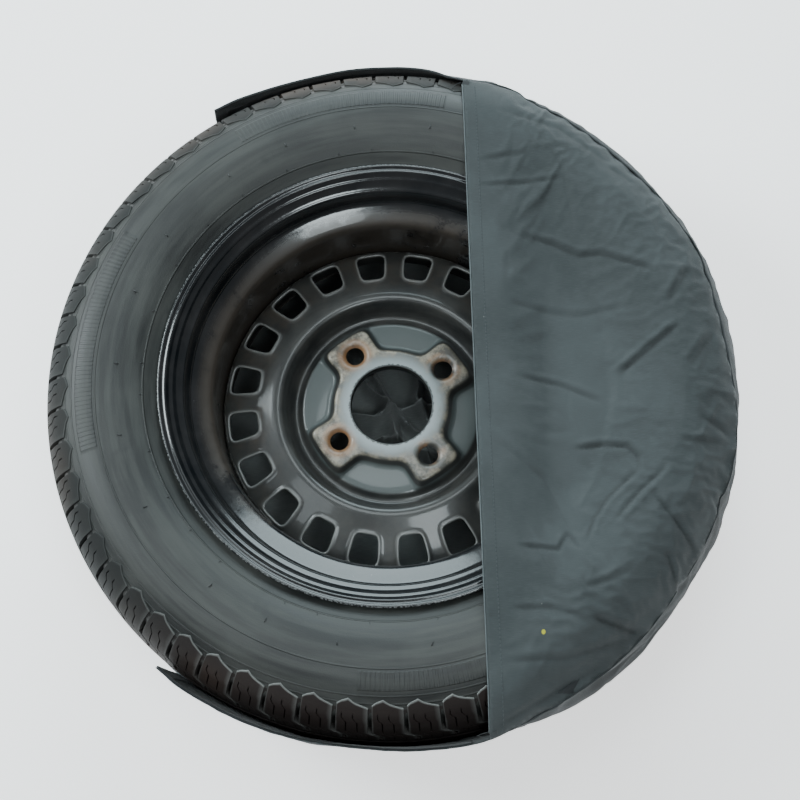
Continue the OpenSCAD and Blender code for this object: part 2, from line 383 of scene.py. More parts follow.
def rubber_finish(name, dusty, serrated=False, lugged=False):
    """Dust in streaks around the axle and in patches, over nearly black rubber.

    serrated adds the side wall's moulded lines; lugged adds the worn edges of the tread
    """
    f = Finish(name)
    r, angle, z = f.radius()
    where = f.place()
    x, y, _ = f.split(where)
    along = f.node("ShaderNodeCombineXYZ", None, {"X": x / r, "Y": y / r, "Z": r * 60})
    streaks = f.noise(along, 2.2, 5.0, 0.6).over(0.35, 0.68)
    patches = f.noise(where, 11.0, 4.0).over(0.38, 0.66)
    grit = f.noise(where, 900.0, 2.0)
    smudge = f.noise(where, 24.0, 3.0).over(0.62, 0.72)
    dust = streaks * 0.55 + patches * 0.3 + grit * 0.15
    brown = f.noise(where, 6.0, 2.0).over(0.52, 0.7) * r.over(0.262, 0.285)
    colour = f.layers(DARK_RUBBER, (dust, dusty), (brown * 0.45, BROWN_DUST),
        (smudge * 0.55, SMUDGE))
    height = grit * 0.25 + patches * 0.15
    if serrated:
        rings = sum(abs(r - ring).over(0.0008, 0.0003) for ring in RING_LINES)
        height = height + fins(angle, r) + rings * 1.6
        colour = f.mix(rings * 0.35, colour, dusty)
    if lugged:
        near = (y * -1 / r).over(0.55, 0.97)
        worn = f.stored("wear_and_highlight") * (0.08 + patches * 0.12 + near * 0.6)
        colour = f.layers(colour, (near * 0.5, RED_DUST), (worn, WORN_GREY))
    rough, gloss = (0.60, 0.25) if lugged else (0.44, 0.5)
    return f.surface(colour, rough + dust * 0.2, height, 0.0006, Specular_IOR_Level=gloss)


TYRE_SIDE = rubber_finish("tyre_rubber_side", DUSTY, serrated=True)
TYRE_TREAD = rubber_finish("tyre_rubber_tread", (0.020, 0.021, 0.020), lugged=True)
VALVE_RUBBER = rubber_finish("valve_rubber", (0.05, 0.05, 0.05))
CAP_PLASTIC = rubber_finish("cap_plastic", (0.04, 0.04, 0.04))
print("rubber finishes made")

# %% Black paint on steel, worn and rusting
BARE_STEEL, BURNT, RECESS_GREY = (0.33, 0.38, 0.39), (0.012, 0.011, 0.010), (0.078, 0.094, 0.093)
RUST, RUST_FILM, CHIP_GREY = (0.27, 0.135, 0.058), (0.060, 0.044, 0.032), (0.26, 0.25, 0.23)
PAD_DARK, PAD_DUST_AND_SHEEN, EDGE_HIGHLIGHT = (0.075, 0.068, 0.056), (0.30, 0.262, 0.20), (0.30, 0.30, 0.29)
LIP_STEEL, WELL_RUST, SCUFF_GREY = (0.34, 0.35, 0.35), (0.066, 0.050, 0.037), (0.25, 0.25, 0.25)
SEAM_R = 0.1515


def disc_layers(f, r, angle, z, noises, far_side):
    """What lies on the disc's paint: rust dust with painted reflection on the star's raised tops
    round the bolts, rust round the bolts, bare steel at the bore, and painted highlight on the
    rolled edges.

    bolt = distance from the nearest bolt's axis, with the angle wrapped to an eighth of a turn
    """
    rust_map, flecks = noises
    turn = (angle - BOLT_PHASE).fn("WRAP", math.pi / 4, -math.pi / 4)
    along = r * turn.fn("COSINE") - BOLT_CIRCLE * MM
    across = r * turn.fn("SINE")
    bolt = (along * along + across * across) ** 0.5
    worn = f.noise(f.place(), 75.0, 5.0, 0.7)
    top = z.over(0.0885, 0.0905) * (1 - r.over(0.0835, 0.0850))
    # The beige on the star's raised tops is partly rust dust and partly painted reflection of the
    # lights.
    pad_dust_and_sheen = top * r.over(0.0400, 0.0520) * (0.45 + far_side * 0.4 + worn * 0.3)
    rings = (1 - bolt.over(0.0118, 0.0185)) * (rust_map + far_side * 0.22).over(0.44, 0.66)
    bare = (1 - (r + worn * 0.012).over(0.0450, 0.0580)) * top * (0.5 + worn * 0.4)
    burnt = 1 - (r + flecks * 0.004).over(0.0397, 0.0404)
    recess = (1 - top) * (1 - z.over(0.0840, 0.0860)) * (1 - r.over(0.078, 0.081))
    film = rust_map.over(0.42, 0.72) * 0.5 * r.over(0.1, 0.12) * (0.3 + far_side * 0.7)
    # Rolled edges lightened to grey: painted highlight.
    edge = f.stored("wear_and_highlight") * r.over(0.045, 0.05)
    chips = (1 - abs(r - SEAM_R).over(0.0006, 0.0018)) * flecks.over(0.5, 0.62)
    return top, recess, [(pad_dust_and_sheen, f.mix(worn.over(0.38, 0.64), PAD_DARK, PAD_DUST_AND_SHEEN)),
        (rings * 0.75, RUST), (bare, BARE_STEEL), (burnt * 0.9, BURNT),
        (recess * 0.7, RECESS_GREY), (film, RUST_FILM), (edge * 0.5, EDGE_HIGHLIGHT),
        (chips * 0.6, CHIP_GREY)]


def paint_finish(name, disc):
    """Glossy black paint on the rim, duller and more worn paint on the disc."""
    f = Finish(name)
    r, angle, z = f.radius()
    where = f.place()
    x, y, _ = f.split(where)
    peel = f.noise(where, 240.0, 2.0)
    mottle = f.noise(where, 26.0, 5.0, 0.65)
    flecks = f.noise(where, 520.0, 3.0, 0.6)
    rust_map = f.noise(where, 38.0, 5.0, 0.7)
    far_side = ((y - x) / r).over(-0.6, 0.9)
    if disc:
        paint = f.mix(mottle.over(0.3, 0.7), (0.015, 0.016, 0.016), (0.038, 0.037, 0.034))
        top, recess, worn = disc_layers(f, r, angle, z, (rust_map, flecks), far_side)
        rough = 0.30 + mottle * 0.16 + top * 0.12 + recess * 0.12
    else:
        paint = f.mix(mottle.over(0.35, 0.7), (0.006, 0.0075, 0.009), (0.018, 0.018, 0.019))
        lip = r.over(0.1938, 0.1950) * flecks.over(0.46, 0.60)
        well = (1 - r.over(0.158, 0.1700)) * (rust_map * 0.8 + far_side * 0.3).over(0.50, 0.72)
        scuffs = flecks.over(0.70, 0.74) * mottle.over(0.5, 0.6)
        worn = [(lip * 0.6, LIP_STEEL), (well * 0.55, WELL_RUST), (scuffs * 0.3, SCUFF_GREY)]
        rough = 0.09 + mottle * 0.12 + well * 0.3
    return f.surface(f.layers(paint, *worn), rough, peel * 0.5 + mottle * 0.5, 0.00012,
        Coat_Weight=0.3, Coat_Roughness=0.08)


DISC_PAINT = paint_finish("black_paint_disc", True)
RIM_PAINT = paint_finish("black_paint_rim", False)


def metal_finish(name, dark, light, metal):
    """Spots between two colours, which roughen the metal where they are light."""
    f = Finish(name)
    spots = f.noise(f.place(), 300.0, 4.0)
    return f.surface(f.mix(spots, dark, light), 0.35 + spots * 0.3, spots, 0.0002, metal)


BRASS = metal_finish("valve_brass", (0.30, 0.20, 0.07), (0.62, 0.46, 0.19), 1.0)
CORD_STEEL = metal_finish("cord_steel", (0.25, 0.20, 0.13), (0.55, 0.47, 0.34), 1.0)
WELD_STEEL = metal_finish("weld_steel", (0.015, 0.014, 0.013), (0.06, 0.05, 0.04), 0.3)
print("paint and metal finishes made")

# %% [markdown]
# ## The tyre
# A tyre is moulded, so its section is one closed outline turned about the axle. The shoulder is
# different: sixty-two lugs around each edge, cut apart by slots, with fine hooked cuts (sipes) in
# each lug. A grid of columns around the wheel and rows across the tread can do both. Columns are
# crowded where a slot or sipe has its walls, and each point is pushed inward by the depth there.

# %% The casing, one outline turned about the axle
SIDEWALL = [[281.5, 76.5], [276, 82.3], [268, 88], [257, 93], [245, 94.5], [232, 93.3],
    [218, 89.3], [208, 84.5], [203, 80.5], [199.5, 77.5], [195, 74.5], [190, 72], [186, 70],
    [179.5, 67.4], [178, 65.8]]
LINING = [[177.6, 54], [183, 55.5], [188, 61], [197, 68], [206, 75.5], [215, 81.3],
    [230, 86.8], [245, 88.3], [258, 86.8], [268, 82], [275, 74], [278.5, 66], [281, 55],
    [283.5, 30], [284, 0]]
CROWN = [[289.3, 0], [289.3, 48], [287, 58], [283, 67]]


def mirrored(half):
    """The half profile above the middle plane, then the same below it, run the other way."""
    half = np.asarray(half, float)
    below = half[::-1] * [1, -1]
    return np.concatenate([half, below]) + [0, MID_Z]


section = np.concatenate([[CROWN[0]], rounded(CROWN[1:] + SIDEWALL), rounded(LINING)])
casing_outline = mirrored(section)
doubled = [len(section), 2 * len(section) - 1]
casing = add_mesh("Tyre_casing", *turned(np.delete(casing_outline, doubled, axis=0), 288))
finish_piece(casing, "wheel", TYRE_SIDE, ["tyre_casing"])

# %% The tread, with slots, grooves and hooked sipes
LUGS = 62
TREAD = rounded([[298, 0], [297.6, 25], [296, 45], [293.5, 58], [290, 67.5], [286, 74.2],
    [281.5, 79.4], [276, 84.0], [270, 87.8], [266, 89.2]])
across_lug = np.array([0, .045, .062, .12, .19, .26, .325, .345, .365, .42, .50, .58,
    .635, .655, .675, .75, .84, .938, .955])
across_tread = np.array([0, 3.5, 7.2, 7.8, 12, 16.2, 16.8, 20, 25, 32.2, 32.8, 36, 39.2, 39.8,
    43, 44.5, 47, 50, 53, 56, 59, 62, 65, 68, 70.5, 73, 75, 77, 79, 80.5, 82, 83.5, 85, 86.5,
    87.6, 88.4, 89.1])


def lug_peak(p):
    """Roof-shaped end of a lug: from 0.4 up to 1 at the middle of its width, and down to 0."""
    return np.interp(p, [0.0, 0.05, 0.5, 0.95, 1.0], [0.4, 0.4, 1.0, 0.0, 0.0])


def bumps(p, middles, half):
    """Roof shapes: 1 at each middle, falling to 0 at half a width on either side."""
    return sum(np.interp(p, [at - half, at, at + half], [0, 1, 0]) for at in middles)


SLOT_DEPTH, GROOVE_DEPTH, SIPE_DEPTH, BURY_DEPTH = 6.8, 7, 3.2, 3.0
SLOT_EDGES = [0, .0455, .0615, .9385, .9545, 1]
SIPES_AT, SIPE_HALF = (.345, .655), .019
GROOVES = (12, 4.4), (36, 3.4)
lug_columns = (np.arange(LUGS)[:, None] + across_lug).ravel()


def tread_points(side):
    """Point (row, column): the tread path at height z, pushed inward by the depth there.

    p = place across a lug, 0 to 1; hook(p, z) shears the columns, so that slots and sipes bend
    depth = 7 groove(z) + 6.8 slot(p) shoulder(z) fade(z) + 3.2 sipe(p) shoulder(z)
    moved = depth fade(z) + 3 at the last rows, which are buried in the casing
    """
    z = across_tread[:, None]
    p = (lug_columns % 1)[None, :]
    height = z * (1 - 0.042 * (1 - lug_peak(p)) * smoothstep(60, 89, z))
    r = np.interp(height, TREAD[:, 1], TREAD[:, 0])
    slot = np.interp(p, SLOT_EDGES, [1, 1, 0, 0, 1, 1])
    groove = sum((np.abs(z - at) < half) * 1.0 for at, half in GROOVES)
    fade = 1 - 0.55 * smoothstep(72, 86, z)
    depth = GROOVE_DEPTH * groove + SLOT_DEPTH * slot * smoothstep(42.5, 45, z) * fade
    sipe = bumps(p, SIPES_AT, SIPE_HALF) * smoothstep(46, 49, z)
    depth = depth + SIPE_DEPTH * sipe * (1 - smoothstep(80.5, 82.5, z))
    moved = depth * fade + BURY_DEPTH * smoothstep(88.3, 89.1, z)
    slope = np.gradient(np.interp(across_tread, TREAD[:, 1], TREAD[:, 0]), across_tread)[:, None]
    lean = np.sqrt(1 + slope ** 2)
    r = r - moved / lean
    height = height + moved * slope / lean
    bend = np.interp(p, [0.062, 0.3, 0.7, 0.938], [0, 1, 1, 0])
    hook = 0.30 * smoothstep(62, 54, z) - 0.13 * bend * smoothstep(74.5, 79, z)
    return polar(r, (lug_columns + hook) * 2 * np.pi / LUGS, MID_Z + side * height)


INNER_ROWS = ((263, -84), (274, -78), (283, -67), (288, -50), (288, 50), (283, 67), (274, 78),
    (263, 84))
inner_rows = [polar(r, lug_columns * 2 * np.pi / LUGS, MID_Z + height)
    for r, height in INNER_ROWS]
rows = np.concatenate([tread_points(1)[::-1], tread_points(-1)[1:], np.stack(inner_rows)])
points = rows.reshape(-1, 3)
faces = outward(points, grid_faces(len(rows), rows.shape[1], True, True))
tread = add_mesh("Tyre_tread", points, faces, smooth=False)


def both_sides(values):
    """A value per row of one half of the tread, for all rows, with 0 on the inner ones."""
    return np.concatenate([values[::-1], values[1:], np.zeros(len(INNER_ROWS))])[:, None]


worn_ends = both_sides(np.interp(across_tread, [87.6, 88.4, 89.1], [0, 1, 0]))
worn_slots = np.interp(lug_columns % 1, [0, .045, .062, .09, .91, .938, .955, 1],
    [0.05, 0.05, 0.3, 0, 0, 0.3, 0.05, 0.05])
store(tread, "wear_and_highlight", np.maximum(worn_ends, worn_slots * (both_sides(across_tread) > 45)))
finish_piece(tread, "wheel", TYRE_TREAD, ["tyre_tread"])

# %% Vent hairs, the stubs of rubber that flow into the mould's air holes
BOX = np.array([[0, 3, 2, 1], [4, 5, 6, 7], [0, 1, 5, 4], [1, 2, 6, 5], [2, 3, 7, 6],
    [3, 0, 4, 7]])
HAIR_HALF = 0.45


def hairs(count, radius, height, length, seed):
    """Square prisms that lie along the radius: centre line r = radius to radius + length."""
    rng = np.random.default_rng(seed)
    turn = (np.arange(count) + rng.uniform(-0.25, 0.25, count)) * 2 * np.pi / count
    out, side = (polar(1, turn + more, 0)[:, None, :] for more in (0, np.pi / 2))
    ends = np.array([radius] * 4 + [radius + length] * 4)[None, :, None]
    wide = np.array([-1, 1, 1, -1] * 2)[None, :, None] * HAIR_HALF
    high = np.array([-1, -1, 1, 1] * 2)[None, :, None] * HAIR_HALF
    drift = rng.uniform(-0.35, 0.35, (count, 1, 1)) * (ends - radius)
    points = (ends * out + (wide + drift) * side + (height + high) * UP).reshape(-1, 3)
    faces = (np.arange(count)[:, None, None] * 8 + BOX).reshape(-1, 4)
    return points, outward(points, faces)


hair = add_mesh("Vent_hairs", *joined([hairs(31, 207.5, MID_Z + 84.6, 5.5, 3),
    hairs(22, 226, MID_Z + 92.3, 3.5, 8)]))
finish_piece(hair, "wheel", VALVE_RUBBER)

# %% [markdown]
# ## The rim and its disc
# The rim is rolled from one strip of steel, so its section is a line with the strip's thickness.
# The disc is pressed from a flat blank: its face is a height over every point of a plan, with a
# star raised for the bolts. Each hole's mesh is a frame between the hole's outline and the edge
# of its cell, so the rows run round the hole and its rolled edge can be shaped by distance alone.

# %% Rim
SEAT = [[195.3, -0.9], [194.6, -0.1], [193.6, 0], [192.6, -0.5], [191.6, -1.6], [190.6, -1.9],
    [189.6, -1.3], [188.6, -1.2], [187.4, -2.6], [185.6, -5.2], [184.2, -5.9], [183.2, -6.2],
    [181.8, -8.4], [179.5, -11], [177.2, -12.4], [175.8, -12.9], [174.6, -14.6], [173.6, -20],
    [172.8, -27], [171.8, -29.8], [170.2, -31.2]]
SLOPE = [[166, -33.2], [160, -36.4], [155.5, -39.2], [153.6, -43], [153, -50]]
RIM_SPAN = 162
outboard = np.array(SEAT + SLOPE)
inboard = np.array([[153, -119], [158, -127]] + [[r, -RIM_SPAN - z] for r, z in SEAT[::-1]])
rim_path = rounded(np.concatenate([outboard, inboard]) + [0, LIP_Z], 1)
rim = add_mesh("Rim_barrel", *turned(thickened(rim_path, 2.8), 256))
finish_piece(rim, "wheel", RIM_PAINT, ["rim_barrel"])

# %% The disc as a height over its plan
FACE = rounded([[36, 83], [80, 83], [83.5, 77.4], [90, 77], [95.5, 96], [99, 98.5], [104, 98.5],
    [108, 97.2], [148, 86.5], [151.5, 83.5]], 3)
bolt_turn = BOLT_PHASE + np.arange(4) * np.pi / 2
bolt_at = polar(BOLT_CIRCLE, bolt_turn)
slot_turn = SLOT_PHASE + np.arange(20) * np.pi / 10
SLOT_R = 133.6
BOLT_HOLE, SEAT_R, BORE_R, BORE_FOOT = 8.25, 12.2, 36.6, 79.5


def slot_reach(direction, axis_angle):
    """Superellipse |u/13|^5 + |v/b|^5 = 1 with b = 11.9 + 1.7 u/|.|: wider toward the rim."""
    c, s = np.cos(axis_angle), np.sin(axis_angle)
    u = direction[..., 0] * c + direction[..., 1] * s
    v = -direction[..., 0] * s + direction[..., 1] * c
    return (np.abs(u / 13.0) ** 5 + np.abs(v / (11.9 + 1.7 * u)) ** 5) ** -0.2


def slot_gaps(xy):
    """For each slot in turn, the distance of every point from the slot's outline."""
    for turn in slot_turn:
        away = xy - polar(SLOT_R, turn)
        rho = np.hypot(*away.T)
        yield rho - slot_reach(away / rho[:, None], turn)


def disc_height(xy):
    """Height of the pressed face: profile(r) + 8 star - seats + lips.

    star = smooth step of the distance to a circle and four trapezoids, blended by
    -k log(sum exp(-d / k)); k log(sum exp(side / k)) rounds each trapezoid's corners
    seat = 3 mm deep cone around each bolt; lip = 1.3 exp(-(gap / 2.4)^2) around each slot
    """
    r = np.hypot(xy[:, 0], xy[:, 1])
    height = np.interp(r, FACE[:, 0], FACE[:, 1])
    distances = [r - 52]
    for turn in bolt_turn:
        u = xy[:, 0] * np.cos(turn) + xy[:, 1] * np.sin(turn)
        v = np.abs(-xy[:, 0] * np.sin(turn) + xy[:, 1] * np.cos(turn))
        half = 18 + (u - 38) * 7 / 41
        sides = np.stack([v - half, u - 76.5, 38 - u])
        distances.append(4.5 * np.log(np.exp(sides / 4.5).sum(axis=0)))
    blended = -4 * np.log(np.exp(-np.stack(distances) / 4).sum(axis=0))
    height = height + 8 * smoothstep(4.6, -2.6, blended)
    for centre in bolt_at:
        rho = np.hypot(*(xy - centre).T)
        height = height - 3 * np.clip((SEAT_R - rho) / (SEAT_R - BOLT_HOLE), 0, 1)
    for gap in slot_gaps(xy):
        height = height + 1.3 * np.exp(-(gap / 2.4) ** 2) - 0.9 * np.exp(-(gap / 0.8) ** 2)
    return height


def disc_edge_highlight(xy):
    """Painted highlight on the rolled edges: 1 at a rolled slot edge, a bolt seat's edge or the
    bore's edge, falling away from it.
    """
    worn = 0.9 * np.exp(-((np.hypot(*xy.T) - 37.4) / 1.0) ** 2)
    for centre in bolt_at:
        worn = worn + 0.6 * np.exp(-((np.hypot(*(xy - centre).T) - SEAT_R) / 1.0) ** 2)
    for gap in slot_gaps(xy):
        worn = worn + np.exp(-((gap - 0.9) / 1.1) ** 2)
    return np.clip(worn, 0, 1)


START, TURN_STEP = math.radians(17), math.radians(0.75)
turns = START + TURN_STEP * np.arange(480)
INWARD_TO_EDGE = np.array([0, 0.03, 0.08, 0.15, 0.25, 0.4, 0.6, 0.8, 1])[:, None, None]


def ring_plan(radii, angles, closed):
    """Plain polar patch: (radius, angle) to (r cos a, r sin a)."""
    plan = polar(np.asarray(radii, float)[:, None], np.asarray(angles)[None, :])
    return plan.reshape(-1, 2), grid_faces(len(radii), len(angles), False, closed)


def cell_plan(radii, angles, centre, reach):
    """Frame between a cell's edge and the hole in it: hole + t (edge - hole), t from 0 to 1."""
    middle = 0 * radii[1:-1]
    loop_r = np.concatenate([0 * angles + radii[0], radii[1:-1], 0 * angles + radii[-1],
        radii[-2:0:-1]])
    loop_a = np.concatenate([angles, middle + angles[-1], angles[::-1], middle + angles[0]])
    edge = polar(loop_r, loop_a)
    way = unit(edge - centre)
    hole = centre + way * reach(way)[:, None]
    plan = hole + INWARD_TO_EDGE * (edge - hole)
    return plan.reshape(-1, 2), grid_faces(len(INWARD_TO_EDGE), len(edge), False, True)


def ring_wall(outline, toward_axle):
    """A wall around the axle from an outline of (radius, height), facing in or out."""
    grid = polar(outline[:, 0, None], turns, outline[:, 1, None]).reshape(-1, 3)
    wall = grid_faces(len(outline), len(turns), False, True)
    normal = np.cross(grid[wall[:, 2]] - grid[wall[:, 0]], grid[wall[:, 3]] - grid[wall[:, 1]])
    wrong = (np.einsum("ij,ij->i", normal, grid[wall[:, 0]] * OUT) > 0) == toward_axle
    wall[wrong] = wall[wrong][:, ::-1]
    return grid, wall


bolt_radii, slot_radii = np.linspace(40, 74.3, 17), np.linspace(112, 149.5, 16)
STEPS_OUT = [74.3, 75.5, 77, 78.5, 80, 81.5, 83, 85, 87, 89, 90.5, 91.5, 92.5, 93.5, 94.5, 95.5,
    96.5, 98, 100, 102, 104, 106, 108, 110, 112]
parts = [ring_plan([BORE_R, 37.1, 38.2, 40], turns, True), ring_plan(STEPS_OUT, turns, True)]
for turn, centre in zip(bolt_turn, bolt_at):
    middle = int(round((turn - START) / TURN_STEP))
    inside = START + TURN_STEP * np.arange(middle - 18, middle + 19)
    between = START + TURN_STEP * np.arange(middle + 18, middle + 120 - 17)
    parts.append(cell_plan(bolt_radii, inside, centre, lambda way: BOLT_HOLE + 0 * way[:, 0]))
    parts.append(ring_plan(bolt_radii, between, False))
for turn in slot_turn:
    inside = turn + TURN_STEP * np.arange(-12, 13)
    parts.append(cell_plan(slot_radii, inside, polar(SLOT_R, turn),
        lambda way, a=turn: slot_reach(way, a)))
plan, faces = joined(parts)
points = np.column_stack([plan, disc_height(plan)])
corner = points[faces][..., :2]
area = np.cross(corner[:, 2] - corner[:, 0], corner[:, 3] - corner[:, 1])
faces[area < 0] = faces[area < 0][:, ::-1]
bore_top = disc_height(np.array([[BORE_R, 0.0]]))[0]
bore_edge = np.array([[BORE_R, BORE_FOOT], [BORE_R, bore_top]])
flange = np.array([[149.5, np.interp(149.5, FACE[:, 0], FACE[:, 1])], [150.6, 84.7],
    [151.6, 83.0], [152.3, 80.5], [152.5, 77], [152.5, 62]])
disc = add_mesh("Wheel_disc", *joined([(points, faces), ring_wall(bore_edge, True),
    ring_wall(flange, False)]))
mend(disc, lambda shape: bmesh.ops.remove_doubles(shape, verts=shape.verts, dist=0.00006), True)
place = points_of(disc.data)
# The disc's rolled edges get a painted highlight through this number.
store(disc, "wear_and_highlight", disc_edge_highlight(place[:, :2]) * (place[:, 2] > BORE_FOOT + 0.1))
plate(disc, 3)
finish_piece(disc, "wheel", DISC_PAINT, ["wheel_disc"])

# %% [markdown]
# ## Valve and weld
# The valve is moulded rubber over a brass tube, pulled through a hole in the rim. Its parts share
# one axis, so each is a profile turned about that axis, which leans toward the hub.

# %% Valve stem, core and ribbed cap on their leaning axis
LEAN = math.radians(50)
VALVE_HOLE = 163.5, LIP_Z - 40


def at_valve(points):
    """Lean by 50 degrees toward the axle, move out to the rim's hole, and turn to its angle."""
    x, y, z = points.T
    x, z = x * math.cos(LEAN) - z * math.sin(LEAN), x * math.sin(LEAN) + z * math.cos(LEAN)
    x, z = x + VALVE_HOLE[0], z + VALVE_HOLE[1]
    c, s = math.cos(VALVE_PHASE), math.sin(VALVE_PHASE)
    return np.column_stack([x * c - y * s, x * s + y * c, z])


def valve_part(name, outline, body, material, node, ribs=0):
    """A profile turned about the valve's axis; ribs are cut by the sign of cos(ribs a)."""
    points, faces = turned(np.asarray(outline, float), 96)
    if ribs:
        r, turn = np.hypot(points[:, 0], points[:, 1]), np.arctan2(points[:, 1], points[:, 0])
        points[:, :2] *= (1 - 0.05 * (np.cos(ribs * turn) > 0) * (r > 4.6))[:, None]
    return finish_piece(add_mesh(name, at_valve(points), faces), body, material, [node])


stem_path = [[2.6, -7], [8.2, -7], [8.6, -6.4], [8.6, -5.4], [8.2, -4.9], [5.6, -3.2], [5.5, 0.2],
    [7.4, 1.2], [7.7, 2.2], [7.4, 7], [6.2, 11.5], [4.9, 16], [4.7, 25.4], [4.3, 26], [2.6, 26]]
valve_part("Valve_stem", stem_path, "wheel", VALVE_RUBBER, "valve_stem")
threads = [[3.85 - 0.35 * (i % 2), 26.4 + 0.42 * i] for i in range(20)]
core_path = [[1.4, -7], [2.55, -7], [2.55, 26.05], [3.6, 26.05]] + threads + [[3.3, 35], [1.4, 35]]
valve_part("Valve_core", core_path, "wheel", BRASS, "valve_core")
cap_path = [[4.0, 30], [4.9, 30], [4.9, 38.6], [4.5, 39.6], [3.6, 40], [0.05, 40], [0.05, 38.6],
    [3.95, 38.4]]
valve_part("Valve_cap", cap_path, "cap", CAP_PLASTIC, "valve_cap", 24)

# %% Weld beads with the ripples of a moving torch
WELD_AT = 150.9, 60.3


def weld_run(start, end, segments=220):
    """A rope along an arc: r = 150.9 + a cos t, z = 60.3 + a sin t, a = 1.7 + 0.35 |sin 0.55 i|.

    The rope's radius a falls to a twentieth over the last three rings at each end.
    """
    index = np.arange(segments)
    size = 1.7 + 0.35 * np.abs(np.sin(index * 0.55))
    size = (size * np.clip(np.minimum(index, index[::-1]) / 3, 0.05, 1))[:, None]
    section = size[..., None] * polar(1, around(10))
    r, z = WELD_AT[0] + section[..., 0], WELD_AT[1] + section[..., 1]
    points = polar(r, np.linspace(start, end, segments)[:, None], z).reshape(-1, 3)
    caps = np.array([[0, 1, 2, 3], [0, 3, 4, 5], [0, 5, 6, 7], [0, 7, 8, 9]])
    faces = np.concatenate([grid_faces(segments, 10, False, True), caps[:, ::-1],
        caps + (segments - 1) * 10])
    return points, outward(points, faces)


runs = [weld_run(*np.radians([90 * k + 12, 90 * k + 78])) for k in range(4)]
weld = add_mesh("Weld_beads", *joined(runs))
finish_piece(weld, "wheel", WELD_STEEL, ["disc_weld_beads"])
for name in ("steel_belt", "outboard_bead_wire", "inboard_bead_wire"):
    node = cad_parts[name]
    node.data.materials.clear()
    node.data.materials.append(CORD_STEEL)

# %% [markdown]
# ## The cover's cloth
# The cover is cut from thin woven cloth. Its shape is found in three steps, the way it happens on
# the real one: the cut pieces are laid where they are sewn, gravity drapes them over the tyre,
# and then the folds that the cloth kept from being stored are pressed in. The seam between front
# panel and band is one line of shared points, so the two pieces can't part while they drape.

# %% Cloth, tape and thread finishes
THREAD_PITCH = 0.0012
LINT, SPECK_YELLOW = (0.42, 0.43, 0.40), (0.42, 0.40, 0.03)


def scaled(colour, factor):
    """A colour made lighter or darker by one factor."""
    return [factor * part for part in colour]


def cloth_finish(name, dark, light, lint=0.5, speck=None):
    """Woven cloth: sine u times sine v, faded in patches, with slubs, nap, painted shade along the
    folds, and lint.

    speck is the place of one bright spot on the flat cut, in millimetres
    """
    f = Finish(name)
    cut = f.place(cut=True)
    u, v, _ = f.split(cut)
    turn = 2 * math.pi / THREAD_PITCH
    weave = (u * turn).fn("SINE") * (v * turn).fn("SINE")
    faded = f.noise(cut, 9.0, 5.0, 0.6)
    slub = f.noise(f.place((140, 2600, 1), cut=True), 1.0, 2.0)
    nap = f.noise(cut, 1500.0, 2.0)
    cells = {"Vector": cut, "Scale": 24.0}
    far = f.node("ShaderNodeTexVoronoi", None, cells, "Distance")
    pick = f.split(f.node("ShaderNodeTexVoronoi", None, cells, "Color"))[0]
    fluff = (1 - far.over(0.012, 0.026)) * pick.over(0.80, 0.81)
    # The fold layer darkens the cloth along the crease valleys: painted shade.
    colour = f.layers(dark, (faded.over(0.3, 0.7), light),
        (slub.over(0.4, 0.75) * 0.28, scaled(light, 1.5)),
        (nap.over(0.55, 0.8) * 0.25, scaled(dark, 0.6)),
        (f.stored("fold") * 0.6, scaled(dark, 0.25)), (fluff * lint, LINT))
    if speck:
        x, y = (u - speck[0] * MM), (v - speck[1] * MM)
        away = (x * x + y * y * 0.6) ** 0.5
        colour = f.mix(1 - away.over(0.0013, 0.0017), colour, SPECK_YELLOW)
    height = weave * 0.5 + slub * 0.5 + nap * 0.3
    return f.surface(colour, 0.86 + faded * 0.08, height, 0.00018, Sheen_Weight=0.12,
        Sheen_Roughness=0.5)


FRONT_CLOTH = cloth_finish("cover_cloth_front", (0.027, 0.033, 0.034), (0.051, 0.060, 0.062),
    speck=(122, -217))
# The band is the same cloth as the front panel in a darker copy: painted shade for its grazing,
# shaded sides.
BAND_CLOTH_SHADED = cloth_finish("cover_cloth_band_shaded", (0.015, 0.018, 0.019), (0.032, 0.037, 0.039))
# The hems are the same cloth in a lighter copy: painted highlight along the folded edges.
HEM_CLOTH_LIT = cloth_finish("cover_cloth_hem_lit", (0.070, 0.084, 0.088), (0.110, 0.128, 0.132))
# The back panel is the same cloth in a much lighter copy: painted light, so that its folds show out
# of the shade through the bore and slots.
BACK_CLOTH_LIT = cloth_finish("cover_cloth_back_lit", (0.105, 0.112, 0.112), (0.190, 0.200, 0.196))
# The hems inside the tails are the same cloth made near black: painted shade inside the band's
# mouth.
SHADE_BLACK_CLOTH = cloth_finish("cover_cloth_shade_black", (0.004, 0.005, 0.005), (0.011, 0.012, 0.013),
    lint=0.1)
GREY_THREAD = cloth_finish("thread_grey", (0.032, 0.039, 0.042), (0.056, 0.067, 0.071), lint=0.0)
TAPE = cloth_finish("binding_tape", (0.016, 0.018, 0.020), (0.035, 0.038, 0.040), lint=0.1)
THREAD = cloth_finish("thread", (0.020, 0.022, 0.023), (0.050, 0.054, 0.056), lint=0.0)
print("cloth finishes made")

